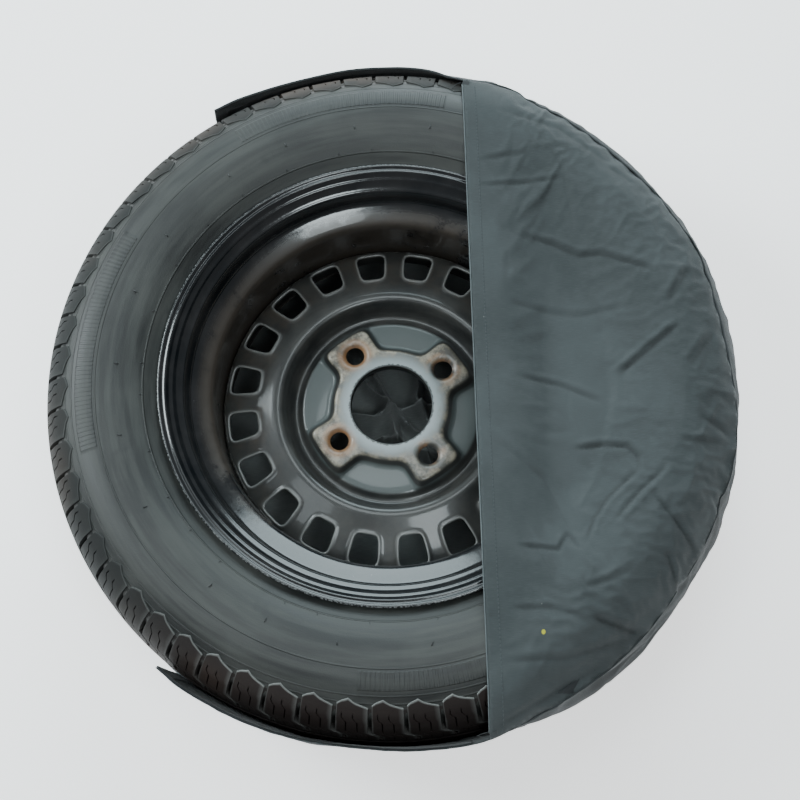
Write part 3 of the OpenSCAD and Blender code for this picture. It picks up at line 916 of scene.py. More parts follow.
# %% The line where panel and band meet, as a table of angle, radius and height
SEAM = np.array([[-129, 304, 168], [-120, 306, 168], [-110, 306, 170], [-98, 305, 172],
    [-88, 306, 174], [-79, 308.5, 176], [-75, 309, 177], [-70, 304, 172], [-60, 301, 169],
    [-45, 299, 169], [-30, 297, 170], [-16, 296, 171], [-8, 294, 171], [-2, 289, 172],
    [6, 283.5, 173], [15, 285, 173], [24, 288.5, 172], [37, 285, 172], [41, 280, 174],
    [46, 280, 174], [51, 281, 174], [59, 283, 174], [61, 282, 175], [64, 287, 174], [69, 291, 174],
    [73, 287, 179], [76.5, 280.5, 184], [79, 285, 179], [83, 297, 168], [95, 298, 165],
    [110, 297.5, 166], [118, 300, 167], [125, 301, 168]])
seam_table = rounded(SEAM, 2)
CORNERS, ENDS = np.radians([-75, 76.5]), np.radians([-127.6, 121.8])
FLOOR_GAP, TUCK, MOUTH_Z = 0.6, 4.6, 168


def seam_at(theta):
    """Radius and height of the band's top edge at an angle, read from the smoothed table."""
    degrees = np.degrees(theta)
    return (np.interp(degrees, seam_table[:, 0], seam_table[:, 1]),
        np.interp(degrees, seam_table[:, 0], seam_table[:, 2]))


def under_tail(theta):
    """1 along the lower tail, 0 elsewhere, with a smooth step before its corner."""
    return smoothstep(-52, -72, np.degrees(theta))


def band_point(theta, h, lift=0.0):
    """Band at angle theta and height share h: r = foot + (top - foot) t^2.2 + 2.2 sin(pi h).

    t = share of the way from h = 0.7 to the top; along the lower tail the foot is tucked in
    against the tread, t starts at h = 0.56, and t^1.4 opens the top outward
    """
    top_r, top_z = seam_at(theta)
    low = under_tail(theta)
    t = np.clip((h - 0.70 + 0.14 * low) / (0.30 + 0.14 * low), 0, 1)
    bulge = 2.2 * np.sin(np.pi * h) * (0.6 + 0.4 * np.sin(5 * theta + 1)) * (1 - low)
    bulge = bulge * (0.25 + 0.75 * smoothstep(-20, 10, np.degrees(theta)))
    foot = COVER_R + 0.2 - low * (TUCK - 2.2 * smoothstep(0.1, 0.4, h))
    r = foot + (top_r - foot) * t ** (2.2 - 0.8 * low) + bulge * (h < 1) + lift
    return polar(r, theta, FLOOR_GAP + (top_z - FLOOR_GAP) * h)


def tail_theta(side, share, h):
    """Angle on a tail: from its corner at share 0 to its slanting end at share 1."""
    end = ENDS[side] + np.radians((5.5, 2.2)[side]) * (1 - h) ** 1.3
    return CORNERS[side] + share * (end - CORNERS[side])


PANEL_COLUMNS, TAIL_COLUMNS, BAND_ROWS = 160, (54, 46), 34
FIRST, LAST = TAIL_COLUMNS[0], TAIL_COLUMNS[0] + PANEL_COLUMNS
h_rows = np.linspace(0, 1, BAND_ROWS)[:, None]
low_share = np.linspace(1, 0, TAIL_COLUMNS[0] + 1)[None, :-1]
high_share = np.linspace(0, 1, TAIL_COLUMNS[1] + 1)[None, 1:]
theta = np.concatenate([tail_theta(0, low_share, h_rows),
    np.linspace(*CORNERS, PANEL_COLUMNS + 1)[None, :] + 0 * h_rows,
    tail_theta(1, high_share, h_rows)], axis=1)
band_grid = band_point(theta, h_rows)
COLUMNS = theta.shape[1]
band_cut = np.stack([theta * COVER_R, band_grid[..., 2]], -1)
print("band grid", band_grid.shape)

# %% The front panel, cut as a sheet of nearly equal triangles
corner_low, corner_high = (band_point(np.array(a), 1.0) for a in CORNERS)
along_edge = (corner_high - corner_low)[:2] / np.linalg.norm((corner_high - corner_low)[:2])
into_panel = np.array([along_edge[1], -along_edge[0]])


def from_edge(xy):
    """Distance of a point from the straight free edge, into the panel."""
    return (xy - corner_low[:2]) @ into_panel


def panel_height(xy):
    """Drape over tyre and dish: 192.6 - sag, then down to the seam as ((q - 0.86) / 0.14)^2.2.

    q = distance from the axle / distance of the seam in that direction
    """
    r, turn = np.hypot(xy[:, 0], xy[:, 1]), np.arctan2(xy[:, 1], xy[:, 0])
    top_r, top_z = seam_at(turn)
    top = 192.6 - 5.5 * np.exp(-(r / 150) ** 2)
    t = np.clip((r / top_r - 0.86) / 0.14, 0, 1.05)
    return top - (top - top_z) * t ** 2.2


STEP = 4.2
seam_line = band_grid[-1, FIRST:LAST + 1]
edge_count = int(np.linalg.norm(corner_high - corner_low) / STEP)
edge_share = np.linspace(1, 0, edge_count + 1)[1:-1, None]
edge_line = corner_low[:2] + edge_share * (corner_high - corner_low)[:2]
loop = np.concatenate([seam_line[:, :2], edge_line])
rows, columns = np.mgrid[-90:90, -80:80]
lattice = np.stack([(columns + 0.5 * (rows % 2)) * STEP, rows * STEP * math.sqrt(0.75)], -1)
lattice = lattice.reshape(-1, 2)
seam_r = seam_at(np.arctan2(lattice[:, 1], lattice[:, 0]))[0]
inside = (np.hypot(*lattice.T) < seam_r - 0.7 * STEP) & (from_edge(lattice) > 0.7 * STEP)
flat = np.concatenate([loop, lattice[inside]])
edges = [(i, (i + 1) % len(loop)) for i in range(len(loop))]
cut = geometry.delaunay_2d_cdt([Vector(p) for p in flat.tolist()], edges, [], 1, 1e-4)
panel_faces = np.array(cut[2])
assert len(cut[0]) == len(flat)
panel = np.column_stack([flat, panel_height(flat)])
panel[:len(seam_line), 2] = seam_line[:, 2]
print(len(panel), "points on the front panel")

# %% [markdown]
# Panel and band are welded into one sheet and draped with a little growth, because a loose cover
# has more cloth than the tyre's surface. The hem along the free edge, the stiff tails and the
# bottom seam are held. A plain skin, from the rim's lip over the tyre, stops the cloth.

# %% Drape
seam_ids = (BAND_ROWS - 1) * COLUMNS + FIRST + np.arange(PANEL_COLUMNS + 1)
new_ids = np.concatenate([seam_ids, BAND_ROWS * COLUMNS + np.arange(len(panel) - len(seam_ids))])
sheet_points = np.concatenate([band_grid.reshape(-1, 3), panel[len(seam_ids):]])
band_faces = grid_faces(BAND_ROWS, COLUMNS)
WHEEL_TOP = np.array([[180, 68], [184, 74], [188, 79], [191, 81], [196, 81.3], [200, 80.6],
    [203, 82], [208, 85], [218, 89.3], [232, 93.3], [245, 94.7], [257, 93.2], [268, 88.6],
    [276, 84], [281.5, 79.4], [286, 74.2], [290, 67.5], [293.5, 58], [296, 45],
    [297.6, 25]]) + [0, MID_Z]
FRAMES, LONGEST_MOVE = 44, 15


def hold_shares(points):
    """How firmly each point is pinned, 0 to 1: the foot, both tails, and the free edge's hem."""
    hold = np.zeros((BAND_ROWS, COLUMNS))
    hold[:5] = np.array([1, 1, 0.9, 0.6, 0.3])[:, None]
    hold[:, :FIRST + 1] = hold[:, LAST:] = 1
    ease = np.linspace(0.9, 0, 7)[None, 1:]
    hold[:, FIRST + 1:FIRST + 7] = np.maximum(hold[:, FIRST + 1:FIRST + 7], ease)
    hold[:, LAST - 6:LAST] = np.maximum(hold[:, LAST - 6:LAST], ease[:, ::-1])
    held = np.concatenate([hold.ravel(), np.zeros(len(points) - hold.size)])
    hem = smoothstep(24, 13, from_edge(points[:, :2])) * (np.arange(len(points)) >= seam_ids[0])
    return np.round(np.maximum(held, hem), 1)


def drape(points):
    """Runs Blender's cloth on the whole sheet and returns where its points come to rest."""
    triangles = np.concatenate([band_faces[:, :3], band_faces[:, [0, 2, 3]],
        new_ids[panel_faces]])
    rng = np.random.default_rng(5)
    obj = add_mesh("Drape", points + rng.normal(0, 0.15, points.shape), triangles)
    held = hold_shares(points)
    group = obj.vertex_groups.new(name="Held")
    for level in np.unique(held[held > 0]):
        group.add(np.flatnonzero(held == level).tolist(), float(level), "REPLACE")
    under = [[297.6, MID_Z - 90], [180, MID_Z - 90]]
    tyre = add_mesh("Skin", *turned(np.concatenate([WHEEL_TOP, under]), 144))
    stop = tyre.modifiers.new("Stop", "COLLISION")
    stop.settings.thickness_outer = 0.001
    stop.settings.cloth_friction = 8
    cloth = obj.modifiers.new("Cloth", "CLOTH")
    for key, value in dict(quality=6, mass=0.12, tension_stiffness=22, compression_stiffness=22,
            shear_stiffness=6, bending_stiffness=0.35, air_damping=2, shrink_min=-0.018,
            vertex_group_mass="Held").items():
        setattr(cloth.settings, key, value)
    cloth.collision_settings.distance_min = 0.0012
    cloth.collision_settings.use_self_collision = False
    cloth.point_cache.frame_start, cloth.point_cache.frame_end = 1, FRAMES
    for step in range(1, FRAMES + 1):
        bpy.context.scene.frame_set(step)
    moved = points_of(obj.evaluated_get(bpy.context.evaluated_depsgraph_get()).to_mesh())
    for made in (obj, tyre):
        bpy.data.objects.remove(made)
    bpy.context.scene.frame_set(1)
    gone = moved - points
    length = np.linalg.norm(gone, axis=1)[:, None]
    print(f"drape moved points by {length.mean():.2f} to {length.max():.2f} mm")
    return points + gone * np.minimum(1, LONGEST_MOVE / np.maximum(length, 1e-6))


settled = drape(sheet_points)
loosened = smoothstep(8, 75, from_edge(sheet_points[:, :2]))[:, None]
loosened[:seam_ids[0]] = 1
settled = sheet_points + loosened * (settled - sheet_points)

# %% [markdown]
# ## Folds
# Stored cloth keeps creases: a valley with one raised side, sharp in the middle and fading out at
# both ends. Each is a short line on the panel with a depth and a width. A few dozen faint ones are
# scattered by a seeded generator, and slow waves are added under all of them.

# %% Creases pressed into the panel
CREASES = [
    ([(75, 190), (125, 200), (170, 204)], 1.0, 5.0),
    ([(76, 167), (113, 170), (151, 174)], 1.2, 4.5),
    ([(116, 122), (142, 116), (163, 105), (180, 105), (229, 84)], 1.9, 5.0),
    ([(191, -2), (213, 15), (242, 38)], 3.4, 5.5), ([(107, -5), (142, -10), (178, -25)], 1.4, 5.0),
    ([(153, -65), (178, -62), (196, -65), (203, -75), (203, -85)], 2.4, 5.0),
    ([(203, -85), (178, -107), (166, -124), (157, -146)], 2.6, 5.0),
    ([(105, -148), (137, -150), (145, -136)], 1.8, 4.0), ([(145, -136), (153, -150)], 1.8, 3.5),
    ([(224, -85), (203, -103), (181, -127)], 2.6, 5.5), ([(213, -107), (249, -152)], 2.4, 5.5),
    ([(222, -152), (234, -183)], 2.2, 5.0), ([(156, -181), (175, -176), (199, -162)], 2.2, 5.0),
    ([(99, -198), (128, -198), (153, -204)], 1.6, 5.0),
    ([(160, -205), (182, -211), (200, -215)], 3.6, 6.5),
    ([(82, -290), (120, -268), (170, -240)], 1.8, 5.5),
    ([(191, 185), (212, 170)], 1.8, 4.5), ([(237, -62), (274, -62)], 2.0, 5.5),
    ([(235, 58), (255, 91)], 2.2, 7.0), ([(249, 2), (272, 33)], 2.4, 7.0),
    ([(255, -41), (282, -54)], 2.0, 6.0), ([(100, 60), (160, 52), (205, 58)], 0.8, 6.0),
    ([(88, -60), (128, -92), (150, -140)], 0.9, 6.0),
    ([(130, 225), (150, 180), (158, 130)], 0.9, 6.0),
    ([(96, 240), (150, 222), (190, 190)], 1.2, 6.0),
    ([(90, -240), (140, -236), (190, -220)], 1.4, 6.0),
]


def crease_place(xy, line):
    """Signed distance of each point from a bent line, and a taper that is 0 at its ends."""
    line = np.asarray(line, float)
    start, step = line[:-1], np.diff(line, axis=0)
    length = np.linalg.norm(step, axis=1)
    t = np.einsum("pij,ij->pi", xy[:, None] - start, step) / length ** 2
    nearest = start + np.clip(t, 0, 1)[..., None] * step
    away = xy[:, None] - nearest
    gap = np.linalg.norm(away, axis=2)
    best = gap.argmin(axis=1)
    every = np.arange(len(xy))
    away, distance, t = away[every, best], gap[every, best], np.clip(t[every, best], 0, 1)
    side = np.sign(step[best, 0] * away[:, 1] - step[best, 1] * away[:, 0])
    travelled = (np.concatenate([[0], np.cumsum(length)])[best] + t * length[best]) / length.sum()
    taper = np.clip(np.minimum(travelled, 1 - travelled) * 5 + 0.15, 0, 1)
    return side * distance, taper


def crease_height(xy, line, depth, width):
    """depth taper (0.55 exp(-((s - 1.7 w) / w)^2) - exp(-1.3 |s| / w)), s = signed distance."""
    s, taper = crease_place(xy, line)
    raised = 0.55 * np.exp(-((s - 1.7 * width) / width) ** 2)
    return depth * taper * (raised - np.exp(-np.abs(s) / width * 1.3))


def crease_shade_line(xy, line, depth):
    """Painted shade along a crease's valley: (depth / 3) taper exp(-(s / 1.7)^2), 0 for shallow
    ones.
    """
    s, taper = crease_place(xy, line)
    return min(depth / 3, 1) ** 1.5 * taper * np.exp(-(s / 1.7) ** 2)


def waves(uv, seed, count, shortest, longest, size):
    """Sum of plane waves: size sin(k . uv + phase) / sqrt(count), seeded."""
    rng = np.random.default_rng(seed)
    turn = rng.uniform(0, np.pi, count)
    k = 2 * np.pi / rng.uniform(shortest, longest, count)
    phase = uv @ np.stack([k * np.cos(turn), k * np.sin(turn)]) + rng.uniform(0, 6.3, count)
    return size * np.sin(phase).sum(axis=1) / math.sqrt(count)


def faint_creases(seed, count, low, high, depth):
    """Seeded short bent creases inside a box: start, length and direction are all drawn."""
    rng = np.random.default_rng(seed)
    start = rng.uniform(low, high, (count, 2))
    turn, length = rng.uniform(-np.pi, np.pi, count), rng.uniform(18, 80, count)
    bend = rng.uniform(-0.5, 0.5, count)
    first = start + polar(0.5 * length, turn)
    last = first + polar(0.5 * length, turn + bend)
    return list(zip(np.stack([start, first, last], 1), rng.uniform(0.3, 1, count) * depth,
        rng.uniform(2.6, 5, count)))


CLOTH_THICK = 0.9


def refined(name, points, faces, flat):
    """The same sheet with every face split once and smoothed, as arrays."""
    obj = add_mesh(name, points, faces, flat)
    split = obj.modifiers.new("Split", "SUBSURF")
    split.levels = split.render_levels = 1
    split.boundary_smooth = "PRESERVE_CORNERS"
    mesh = obj.evaluated_get(bpy.context.evaluated_depsgraph_get()).to_mesh()
    new, corner = points_of(mesh), corners_of(mesh)
    uv = np.empty(len(mesh.loops) * 2, np.float32)
    mesh.uv_layers[0].data.foreach_get("uv", uv)
    flat_new = np.zeros((len(new), 2))
    flat_new[corner] = uv.reshape(-1, 2) / MM
    bpy.data.objects.remove(obj)
    return new, corner.reshape(-1, 4), flat_new


def cloth_piece(name, points, faces, flat, material, nodes):
    """A sheet with its thickness under it, riding on the cover."""
    obj = add_mesh(name, points, faces, flat)
    plate(obj, CLOTH_THICK)
    return finish_piece(obj, "cover", material, nodes)


panel_points, fine_faces, panel_flat = refined("Panel", settled[new_ids], panel_faces,
    panel[:, :2])


DEEPER, NARROWER = 1.05, 0.52


def panel_press(xy):
    """Height added on the panel: creases, faint creases and slow waves."""
    faint = faint_creases(11, 34, (70, -290), (290, 180), 0.7)
    creases = sum(crease_height(xy, line, DEEPER * depth, NARROWER * width)
        for line, depth, width in CREASES)
    creases = creases + sum(crease_height(xy, *crease) for crease in faint)
    return creases + waves(xy, 2, 12, 70, 160, 1.5) + waves(xy, 3, 14, 24, 50, 0.10)


def press_share(distance):
    """Share of the press that the stiff hem lets through: 0.45 at the edge, 1 from 26 mm in."""
    return 0.45 + 0.55 * smoothstep(6, 26, distance)


xy = panel_points[:, :2].copy()
hemmed = smoothstep(6, 26, from_edge(xy))
inset = np.maximum(seam_at(np.arctan2(xy[:, 1], xy[:, 0]))[0] - np.hypot(*xy.T), 0)
near_seam = np.exp(-inset / 14)
arc = np.arctan2(xy[:, 1], xy[:, 0]) * COVER_R
puckers = 1.4 * np.sin(arc * 2 * np.pi / 27 + 2 * np.sin(arc / 41)) * near_seam
press = panel_press(xy) * press_share(from_edge(xy)) * (1 - 0.7 * near_seam)
panel_points[:, 2] += press + puckers * hemmed * 0.6 - 1.6 * np.exp(-inset / 2.2) * hemmed
under = np.interp(np.hypot(*xy.T), *WHEEL_TOP.T, left=0) + 1.5 - 12 * np.exp(-(inset / 6) ** 2)
panel_points[:, 2] = np.maximum(panel_points[:, 2], under)
front = cloth_piece("Front_panel", panel_points, facing(panel_points, fine_faces, 0, UP),
    panel_flat, FRONT_CLOTH, ["front_panel"])
# The fold numbers give the painted shade along the crease valleys.
store(front, "fold", sum(crease_shade_line(xy, line, depth) for line, depth, _ in CREASES))

# %% The side band with its two loose tails
band_points, fine_faces, band_flat = refined("Band", settled[:BAND_ROWS * COLUMNS], band_faces,
    band_cut.reshape(-1, 2))


PRESS_TOP = 170


def pushed_band(points, lift=0.0):
    """Band points moved along the radius by waves, faint creases and a steady lift."""
    out = unit(points[:, :2])
    uv = np.column_stack([np.arctan2(points[:, 1], points[:, 0]) * COVER_R, points[:, 2]])
    share = np.clip(uv[:, 1] / PRESS_TOP, 0, 1)
    press = waves(uv, 6, 14, 50, 130, 1.1) + waves(uv, 7, 14, 20, 44, 0.3)
    faint = faint_creases(21, 90, (-670, 5), (640, 165), 1.6)
    press = press + sum(crease_height(uv, *crease) for crease in faint)
    fade = smoothstep(0, 0.12, share) * (1 - 0.7 * smoothstep(0.86, 1.0, share))
    moved = points.copy()
    moved[:, :2] += out * (np.maximum(press * fade, -0.5) + lift)[:, None]
    return moved


band_points = pushed_band(band_points)
fine_faces = facing(band_points, fine_faces, len(fine_faces) // 2, OUT)
band = cloth_piece("Side_band", band_points, fine_faces, band_flat, BAND_CLOTH_SHADED,
    ["side_band", "band_tail_upper", "band_tail_lower"])

# %% [markdown]
# ## Hems, tapes and thread
# A raw edge frays, so each free edge is folded under and stitched, and each inner seam is covered
# with tape. All of them are narrow strips that follow a line on the cloth, so one function
# carries a small closed section along a line, with the line's own across and up directions.

# %% Strips carried along a line
def swept(centre, across, up, section):
    """Closed strip: point (i, j) = centre_i + section_x_j across_i + section_y_j up_i."""
    section = np.asarray(section, float)
    across, up = (np.broadcast_to(way, centre.shape) for way in (across, up))
    points = (centre[:, None] + section[None, :, 0, None] * across[:, None]
        + section[None, :, 1, None] * up[:, None])
    faces = grid_faces(*points.shape[:2], False, True)
    points = points.reshape(-1, 3)
    return points, outward(points, faces)


def strip_piece(name, line, across, up, section, material, nodes=()):
    """A swept strip whose flat cut is its length by its width, with its two ends closed."""
    points, faces = swept(line, across, up, section)
    length = np.concatenate([[0], np.cumsum(np.linalg.norm(np.diff(line, axis=0), axis=1))])
    flat = np.stack(np.broadcast_arrays(length[:, None], np.asarray(section)[None, :, 0]), -1)
    obj = add_mesh(name, points, faces, flat.reshape(-1, 2))
    mend(obj, lambda shape: bmesh.ops.holes_fill(shape,
        edges=[edge for edge in shape.edges if edge.is_boundary]))
    return finish_piece(obj, "cover", material, nodes)


def stitches(centre, along, up, length=2.2, wide=0.42, high=0.3):
    """Small closed bars, one per centre: a six-sided section that narrows at both ends."""
    along, up = (np.broadcast_to(way, centre.shape) for way in (along, up))
    side = np.cross(up, along)
    place = np.array([-0.5, -0.3, 0.3, 0.5])[None, :, None, None] * length
    fat = np.array([0.25, 1, 1, 0.25])[None, :, None, None]
    turn = around(6)[None, None, :, None]
    points = (centre[:, None, None] + place * along[:, None, None]
        + fat * wide * np.cos(turn) * side[:, None, None]
        + fat * high * np.sin(turn) * up[:, None, None])
    one = np.concatenate([grid_faces(4, 6, False, True), [[0, 1, 2, 3], [0, 3, 4, 5],
        [18, 21, 20, 19], [18, 23, 22, 21]]])
    one = outward(points[0].reshape(-1, 3), one)
    faces = (np.arange(len(centre))[:, None, None] * 24 + one).reshape(-1, 4)
    return points.reshape(-1, 3), faces


# %% Hem and stitching of the front panel's free edge
HEM, STITCH_IN, STITCH_PITCH = 12, 10, 3.3


def pressed(xy, inward, at=None):
    """Height of the creased panel: its drape at a place, and the press inward mm from the edge."""
    return panel_height(xy if at is None else at) + press_share(inward) * panel_press(xy)


edge_length = np.linalg.norm((corner_high - corner_low)[:2])
s = np.linspace(5, edge_length - 5, 150)[:, None]
edge = corner_low[:2] + s * along_edge
line = np.column_stack([edge, pressed(edge, 0, edge + 3 * into_panel)])
slope = (pressed(edge + HEM * into_panel, HEM) - line[:, 2]) / HEM
into = np.column_stack([np.broadcast_to(into_panel, (len(s), 2)), slope])
fold = [(-0.5, -0.1), (-1.2, -0.4), (-1.5, -1.1), (-1.1, -1.9), (0.2, -2.4), (11.4, -2.4),
    (12, -1.9), (11.4, -1.45), (0.2, -1.45), (-0.5, -1.0)]
front_hem = strip_piece("Front_edge_hem", line, into, UP, fold, HEM_CLOTH_LIT,
    ["front_edge_hem"])
s = np.arange(8, edge_length - 8, STITCH_PITCH)[:, None]
dots = corner_low[:2] + s * along_edge + STITCH_IN * into_panel
dots = np.column_stack([dots, pressed(dots, STITCH_IN) + 0.12])
seam_stitch = add_mesh("Hem_stitches", *stitches(dots, np.append(along_edge, 0.0), UP))
finish_piece(seam_stitch, "cover", GREY_THREAD)

# %% Tape inside the front seam, and tape and hem around the back panel
rim_line = settled[seam_ids]
out = unit(rim_line * OUT)
across = -out + 0.55 * UP
up = unit(np.cross(across, np.gradient(rim_line, axis=0)))
up = up * np.sign(up[:, 2])[:, None]
inner = slice(4, -4)
front_tape = strip_piece("Front_seam_tape", rim_line[inner] - out[inner] * 0.6, across[inner],
    up[inner], [(0, -1.5), (7, -1.5), (7.4, -1.9), (7, -2.4), (0, -2.4), (-0.3, -1.9)], TAPE,
    ["front_seam_binding"])


def ring_strip(name, angles, radius, height, section, material, node):
    """A strip around the back panel at a radius and a height, which reaches inward."""
    ring_out = polar(1, angles, 0)
    line = ring_out * radius + UP * height
    return strip_piece(name, line, -ring_out, UP, section, material, [node])


turn = np.linspace(*(ENDS + np.radians([3, -2])), 260)
back_tape = ring_strip("Back_seam_tape", turn, 301.2 - TUCK * under_tail(turn)[:, None], 1.3,
    [(0, 0), (7.6, 0), (8, 0.5), (7.6, 1.0), (0, 1.0), (-0.4, 0.5)], TAPE,
    "back_seam_binding")
back_hem = ring_strip("Back_edge_hem", np.linspace(*np.radians([123, 231.5]), 140), 302.2, 0.2,
    [(0, 0), (-0.6, 0.9), (0, 1.9), (1, 2.2), (12.4, 2.2), (12.8, 1.7), (12.4, 1.25), (0.8, 1.2),
    (0.4, 0.6)], HEM_CLOTH_LIT, "back_edge_hem")

# %% Hems inside the tails, along the top edge and down the slanting end
def around_corner(along, down, inset=(0, 0)):
    """Places (share, h) along a tail's top edge and down its end, moved in by two insets."""
    top = np.linspace(along[0], 1 - inset[0], along[1])
    end = np.linspace(1 - inset[1], down[0], down[1])[1:]
    return np.concatenate([np.stack([top, 1 - inset[1] + 0 * top], -1),
        np.stack([1 - inset[0] + 0 * end, end], -1)])


def tail_hem(name, side, node):
    """Outer line along the top and down the end, inner line 12 mm in, and a grid between."""
    reach = np.abs(ENDS[side] - CORNERS[side]) * COVER_R
    outer = around_corner((0.05, 60), (0.03, 26))
    inner = around_corner((0.05, 60), (0.03, 26), (HEM / reach, HEM / MOUTH_Z))
    place = outer + np.linspace(0, 1, 7)[:, None, None] * (inner - outer)
    share, h = np.clip(place[..., 0], 0, 1), np.clip(place[..., 1], 0, 1)
    grid = pushed_band(band_point(tail_theta(side, share, h), h).reshape(-1, 3), -1.25)
    flat = np.stack([share * reach, h * MOUTH_Z], -1).reshape(-1, 2)
    faces = grid_faces(*share.shape)
    faces = facing(grid, faces, len(faces) // 2, OUT)
    # The near-black cloth on these hems is painted shade.
    return cloth_piece(name, grid, faces, flat, SHADE_BLACK_CLOTH, [node])


hem_low = tail_hem("Tail_hem_lower", 0, "mouth_hem_lower")
hem_high = tail_hem("Tail_hem_upper", 1, "mouth_hem_upper")

# %% Bar tacks and a few loose thread ends
def tack(place, along, up, count=9, pitch=0.62, length=6.5):
    """Stitches side by side, each across the seam, stepped along it."""
    step = (np.arange(count) - (count - 1) / 2)[:, None] * pitch
    return stitches(place + step * np.cross(up, along), along, up, length, 0.36, 0.34)


tacks = []
for corner in (corner_low, corner_high):
    inward = unit(corner[2] * UP - corner)
    place = corner + 5 * inward + 3.5 * np.append(into_panel, 0)
    place[2] = panel_height(place[None, :2])[0] + 0.5
    tacks.append(tack(place, inward, UP))
for side in (0, 1):
    spot = pushed_band(band_point(tail_theta(side, 0.985, 0.06), 0.06)[None], 0.35)[0]
    tacks.append(tack(spot, UP, unit(spot * OUT)))
tack_piece = add_mesh("Bar_tacks", *joined(tacks))
finish_piece(tack_piece, "cover", THREAD, ["corner_bar_tacks"])


def loose_thread(start, heading, length, seed, radius=0.28):
    """Bent thread: start + t heading + a seeded curl, as a tube of six sides."""
    rng = np.random.default_rng(seed)
    t = np.linspace(0, 1, 24)[:, None]
    curl = np.sin(t * rng.uniform(2, 5, 3) + rng.uniform(0, 3, 3)) * length * 0.22
    curl = curl - curl[0]
    line = start + t * length * heading + curl * t
    ahead = unit(np.gradient(line, axis=0))
    side = unit(np.cross(ahead, [0.3, 0.2, 1.0]))
    points, faces = swept(line, side, np.cross(side, ahead), polar(radius, around(6)))
    caps = np.array([[0, 1, 2, 3], [0, 3, 4, 5]])
    faces = np.concatenate([faces, caps[:, ::-1], caps + (len(line) - 1) * 6])
    return points, outward(points, faces)


threads = [loose_thread(corner_high + [-2, -3, 1.0], np.array([-0.9, -0.5, 0.1]), 11, 1),
    loose_thread(corner_high + [-3, 1, 0.5], np.array([-0.6, 0.5, 0.2]), 8, 2),
    loose_thread(corner_low + [-2, 6, 1.0], np.array([-0.8, -0.4, 0.2]), 7, 3)]
thread_ends = add_mesh("Thread_ends", *joined(threads))
finish_piece(thread_ends, "cover", THREAD)

# %% [markdown]
# ## Back panel
# The back panel lies on the floor. Pulled in by the seam, it stands in loose folds where nothing
# weighs it down, and those folds show through the bore and the slots of the wheel.

# %% Back panel with its folds
BACK_FOLDS = [
    ([(-90, 20), (-20, 8), (30, 20), (95, 12)], 7.0, 29),
    ([(-70, -40), (-10, -12), (40, -28)], 6.0, 26),
    ([(-30, 70), (-4, 20), (6, -24), (-8, -80)], 6.5, 32),
    ([(30, 80), (22, 30), (44, -20)], 5.0, 22),
    ([(-60, 90), (-20, 34), (24, -6), (50, -70)], 4.0, 16),
    ([(-120, -80), (-60, -70), (0, -95)], 6.0, 14),
    ([(60, 100), (110, 60), (120, -20)], 6.0, 13),
    ([(-130, 40), (-90, 80), (-40, 120)], 6.0, 14),
]
BACK_COLUMNS, BACK_THICK, BACK_REST = 360, 1.0, 1.15


def close_middle(shape):
    """Fills the small hole at the middle with triangles, and smooths every face."""
    shape.verts.ensure_lookup_table()
    hole = [shape.verts[i] for i in range(BACK_COLUMNS)]
    bmesh.ops.contextual_create(shape, geom=hole)
    wide = [face for face in shape.faces if len(face.verts) > 4]
    bmesh.ops.triangulate(shape, faces=wide)
    for face in shape.faces:
        face.smooth = True


r = np.concatenate([np.linspace(0.4, 150, 90), np.linspace(152, 302, 60)])[:, None]
a = around(BACK_COLUMNS)[None, :]
degrees = np.degrees(np.where(a > np.pi, a - 2 * np.pi, a))
tucked = smoothstep(-52, -72, degrees) * smoothstep(-131, -126, degrees)
flat = polar(r - TUCK * tucked * smoothstep(200, 302, r), a)
grid = grid_faces(*flat.shape[:2], False, True)
flat = flat.reshape(-1, 2)
loose = 1 - smoothstep(60, 150, np.hypot(*flat.T))
ridges = sum(np.maximum(-crease_height(flat, line, 1.0, width), 0) * height
    for line, width, height in BACK_FOLDS)
lift = (ridges + 1.2 + waves(flat, 9, 12, 25, 60, 1.2)) * loose
lift = np.maximum(lift + waves(flat, 10, 10, 60, 140, 0.12), 0)
back = add_mesh("Back_panel", np.column_stack([flat, BACK_REST + lift]), grid, flat)
mend(back, close_middle, face_up=True)
plate(back, BACK_THICK)
finish_piece(back, "cover", BACK_CLOTH_LIT, ["back_panel"])

# %% The cloth pieces are made
print("cloth pieces made")

# %% [markdown]
# ## Studio
# A pale floor, and a big soft light behind the object, so that the rolled steel at the near side
# mirrors it. A second big one stands on the left, and three small ones overhead put a little
# shine on the paint. The camera stands over the near edge and looks steeply down.

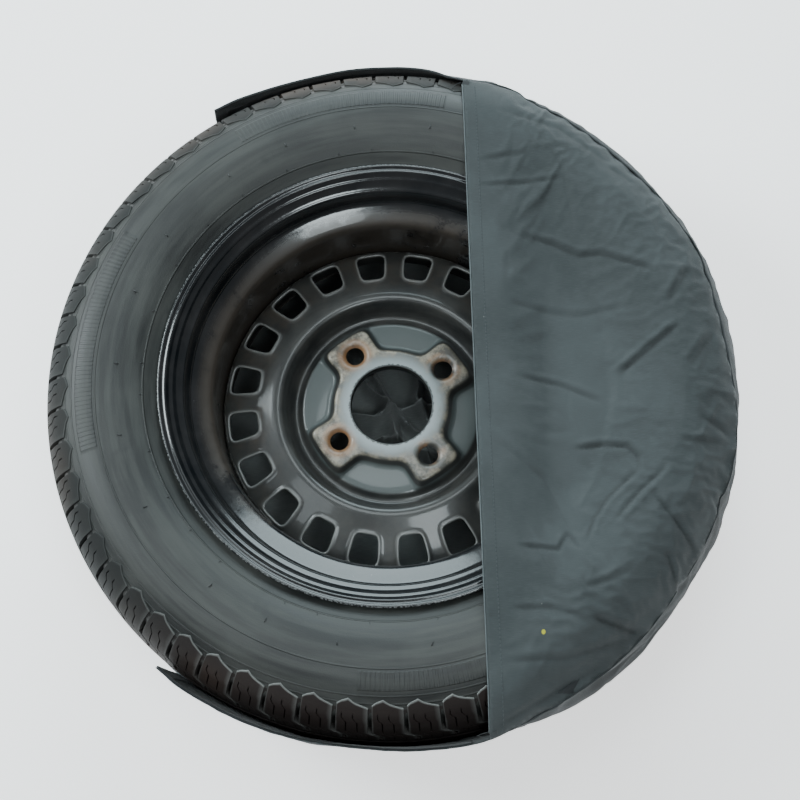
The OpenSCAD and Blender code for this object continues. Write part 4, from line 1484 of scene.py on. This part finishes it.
# %% Floor, lights and camera
FLOOR_Z, WHEEL_MIDDLE = -0.0005, (0, 0, 0.1)
bpy.ops.mesh.primitive_plane_add(size=8, location=(0, 0, FLOOR_Z))
floor = bpy.context.object
floor.name = "Floor"
ground = Finish("floor_white")
paper = ground.noise(ground.place(), 3.0)
floor.data.materials.append(ground.surface(ground.mix(paper, (0.86, 0.86, 0.86),
    (0.90, 0.90, 0.90)), 0.9, Emission_Color=(1, 1, 1), Emission_Strength=1.1))


def soft_light(name, place, size, power, tint=(0.86, 0.97, 1.0)):
    """A round area light that faces the middle of the wheel; size in metres, power in watts."""
    lamp = bpy.data.lights.new(name, "AREA")
    lamp.shape, lamp.size, lamp.energy, lamp.color = "DISK", size, power, tint
    obj = bpy.data.objects.new(name, lamp)
    bpy.context.scene.collection.objects.link(obj)
    obj.location = place
    ahead = Vector(WHEEL_MIDDLE) - Vector(place)
    obj.rotation_euler = ahead.to_track_quat("-Z", "Y").to_euler()


soft_light("Window", (0.2, 1.9, 1.05), 1.7, 52, (0.78, 0.95, 1.0))
soft_light("Sky", (-1.8, 0.6, 1.45), 1.1, 56)
soft_light("Overhead", (-0.15, 0.3, 2.1), 0.7, 9)
soft_light("Sheen", (-1.0, -0.5, 2.1), 0.6, 5)
soft_light("Front", (0.3, -0.58, 1.38), 0.4, 6)
world = bpy.data.worlds.new("Studio")
world.use_nodes = True
sky = world.node_tree.nodes["Background"].inputs
sky[0].default_value, sky[1].default_value = (0.95, 0.98, 1.0, 1), 0.24
bpy.context.scene.world = world

camera = bpy.data.objects.new("Camera", bpy.data.cameras.new("Camera"))
bpy.context.scene.collection.objects.link(camera)
camera.data.lens = 62.05
eye, target = Vector((0.0324, -0.3562, 1.277)), Vector((0.0095, -0.022, 0.177))
camera.location = eye
ahead = (target - eye).normalized()
right = ahead.cross(Vector((0, 1, 0))).normalized()
camera.rotation_euler = Matrix((right, right.cross(ahead), -ahead)).transposed().to_euler()
bpy.context.scene.camera = camera
print("floor, five lights and the camera are in place")
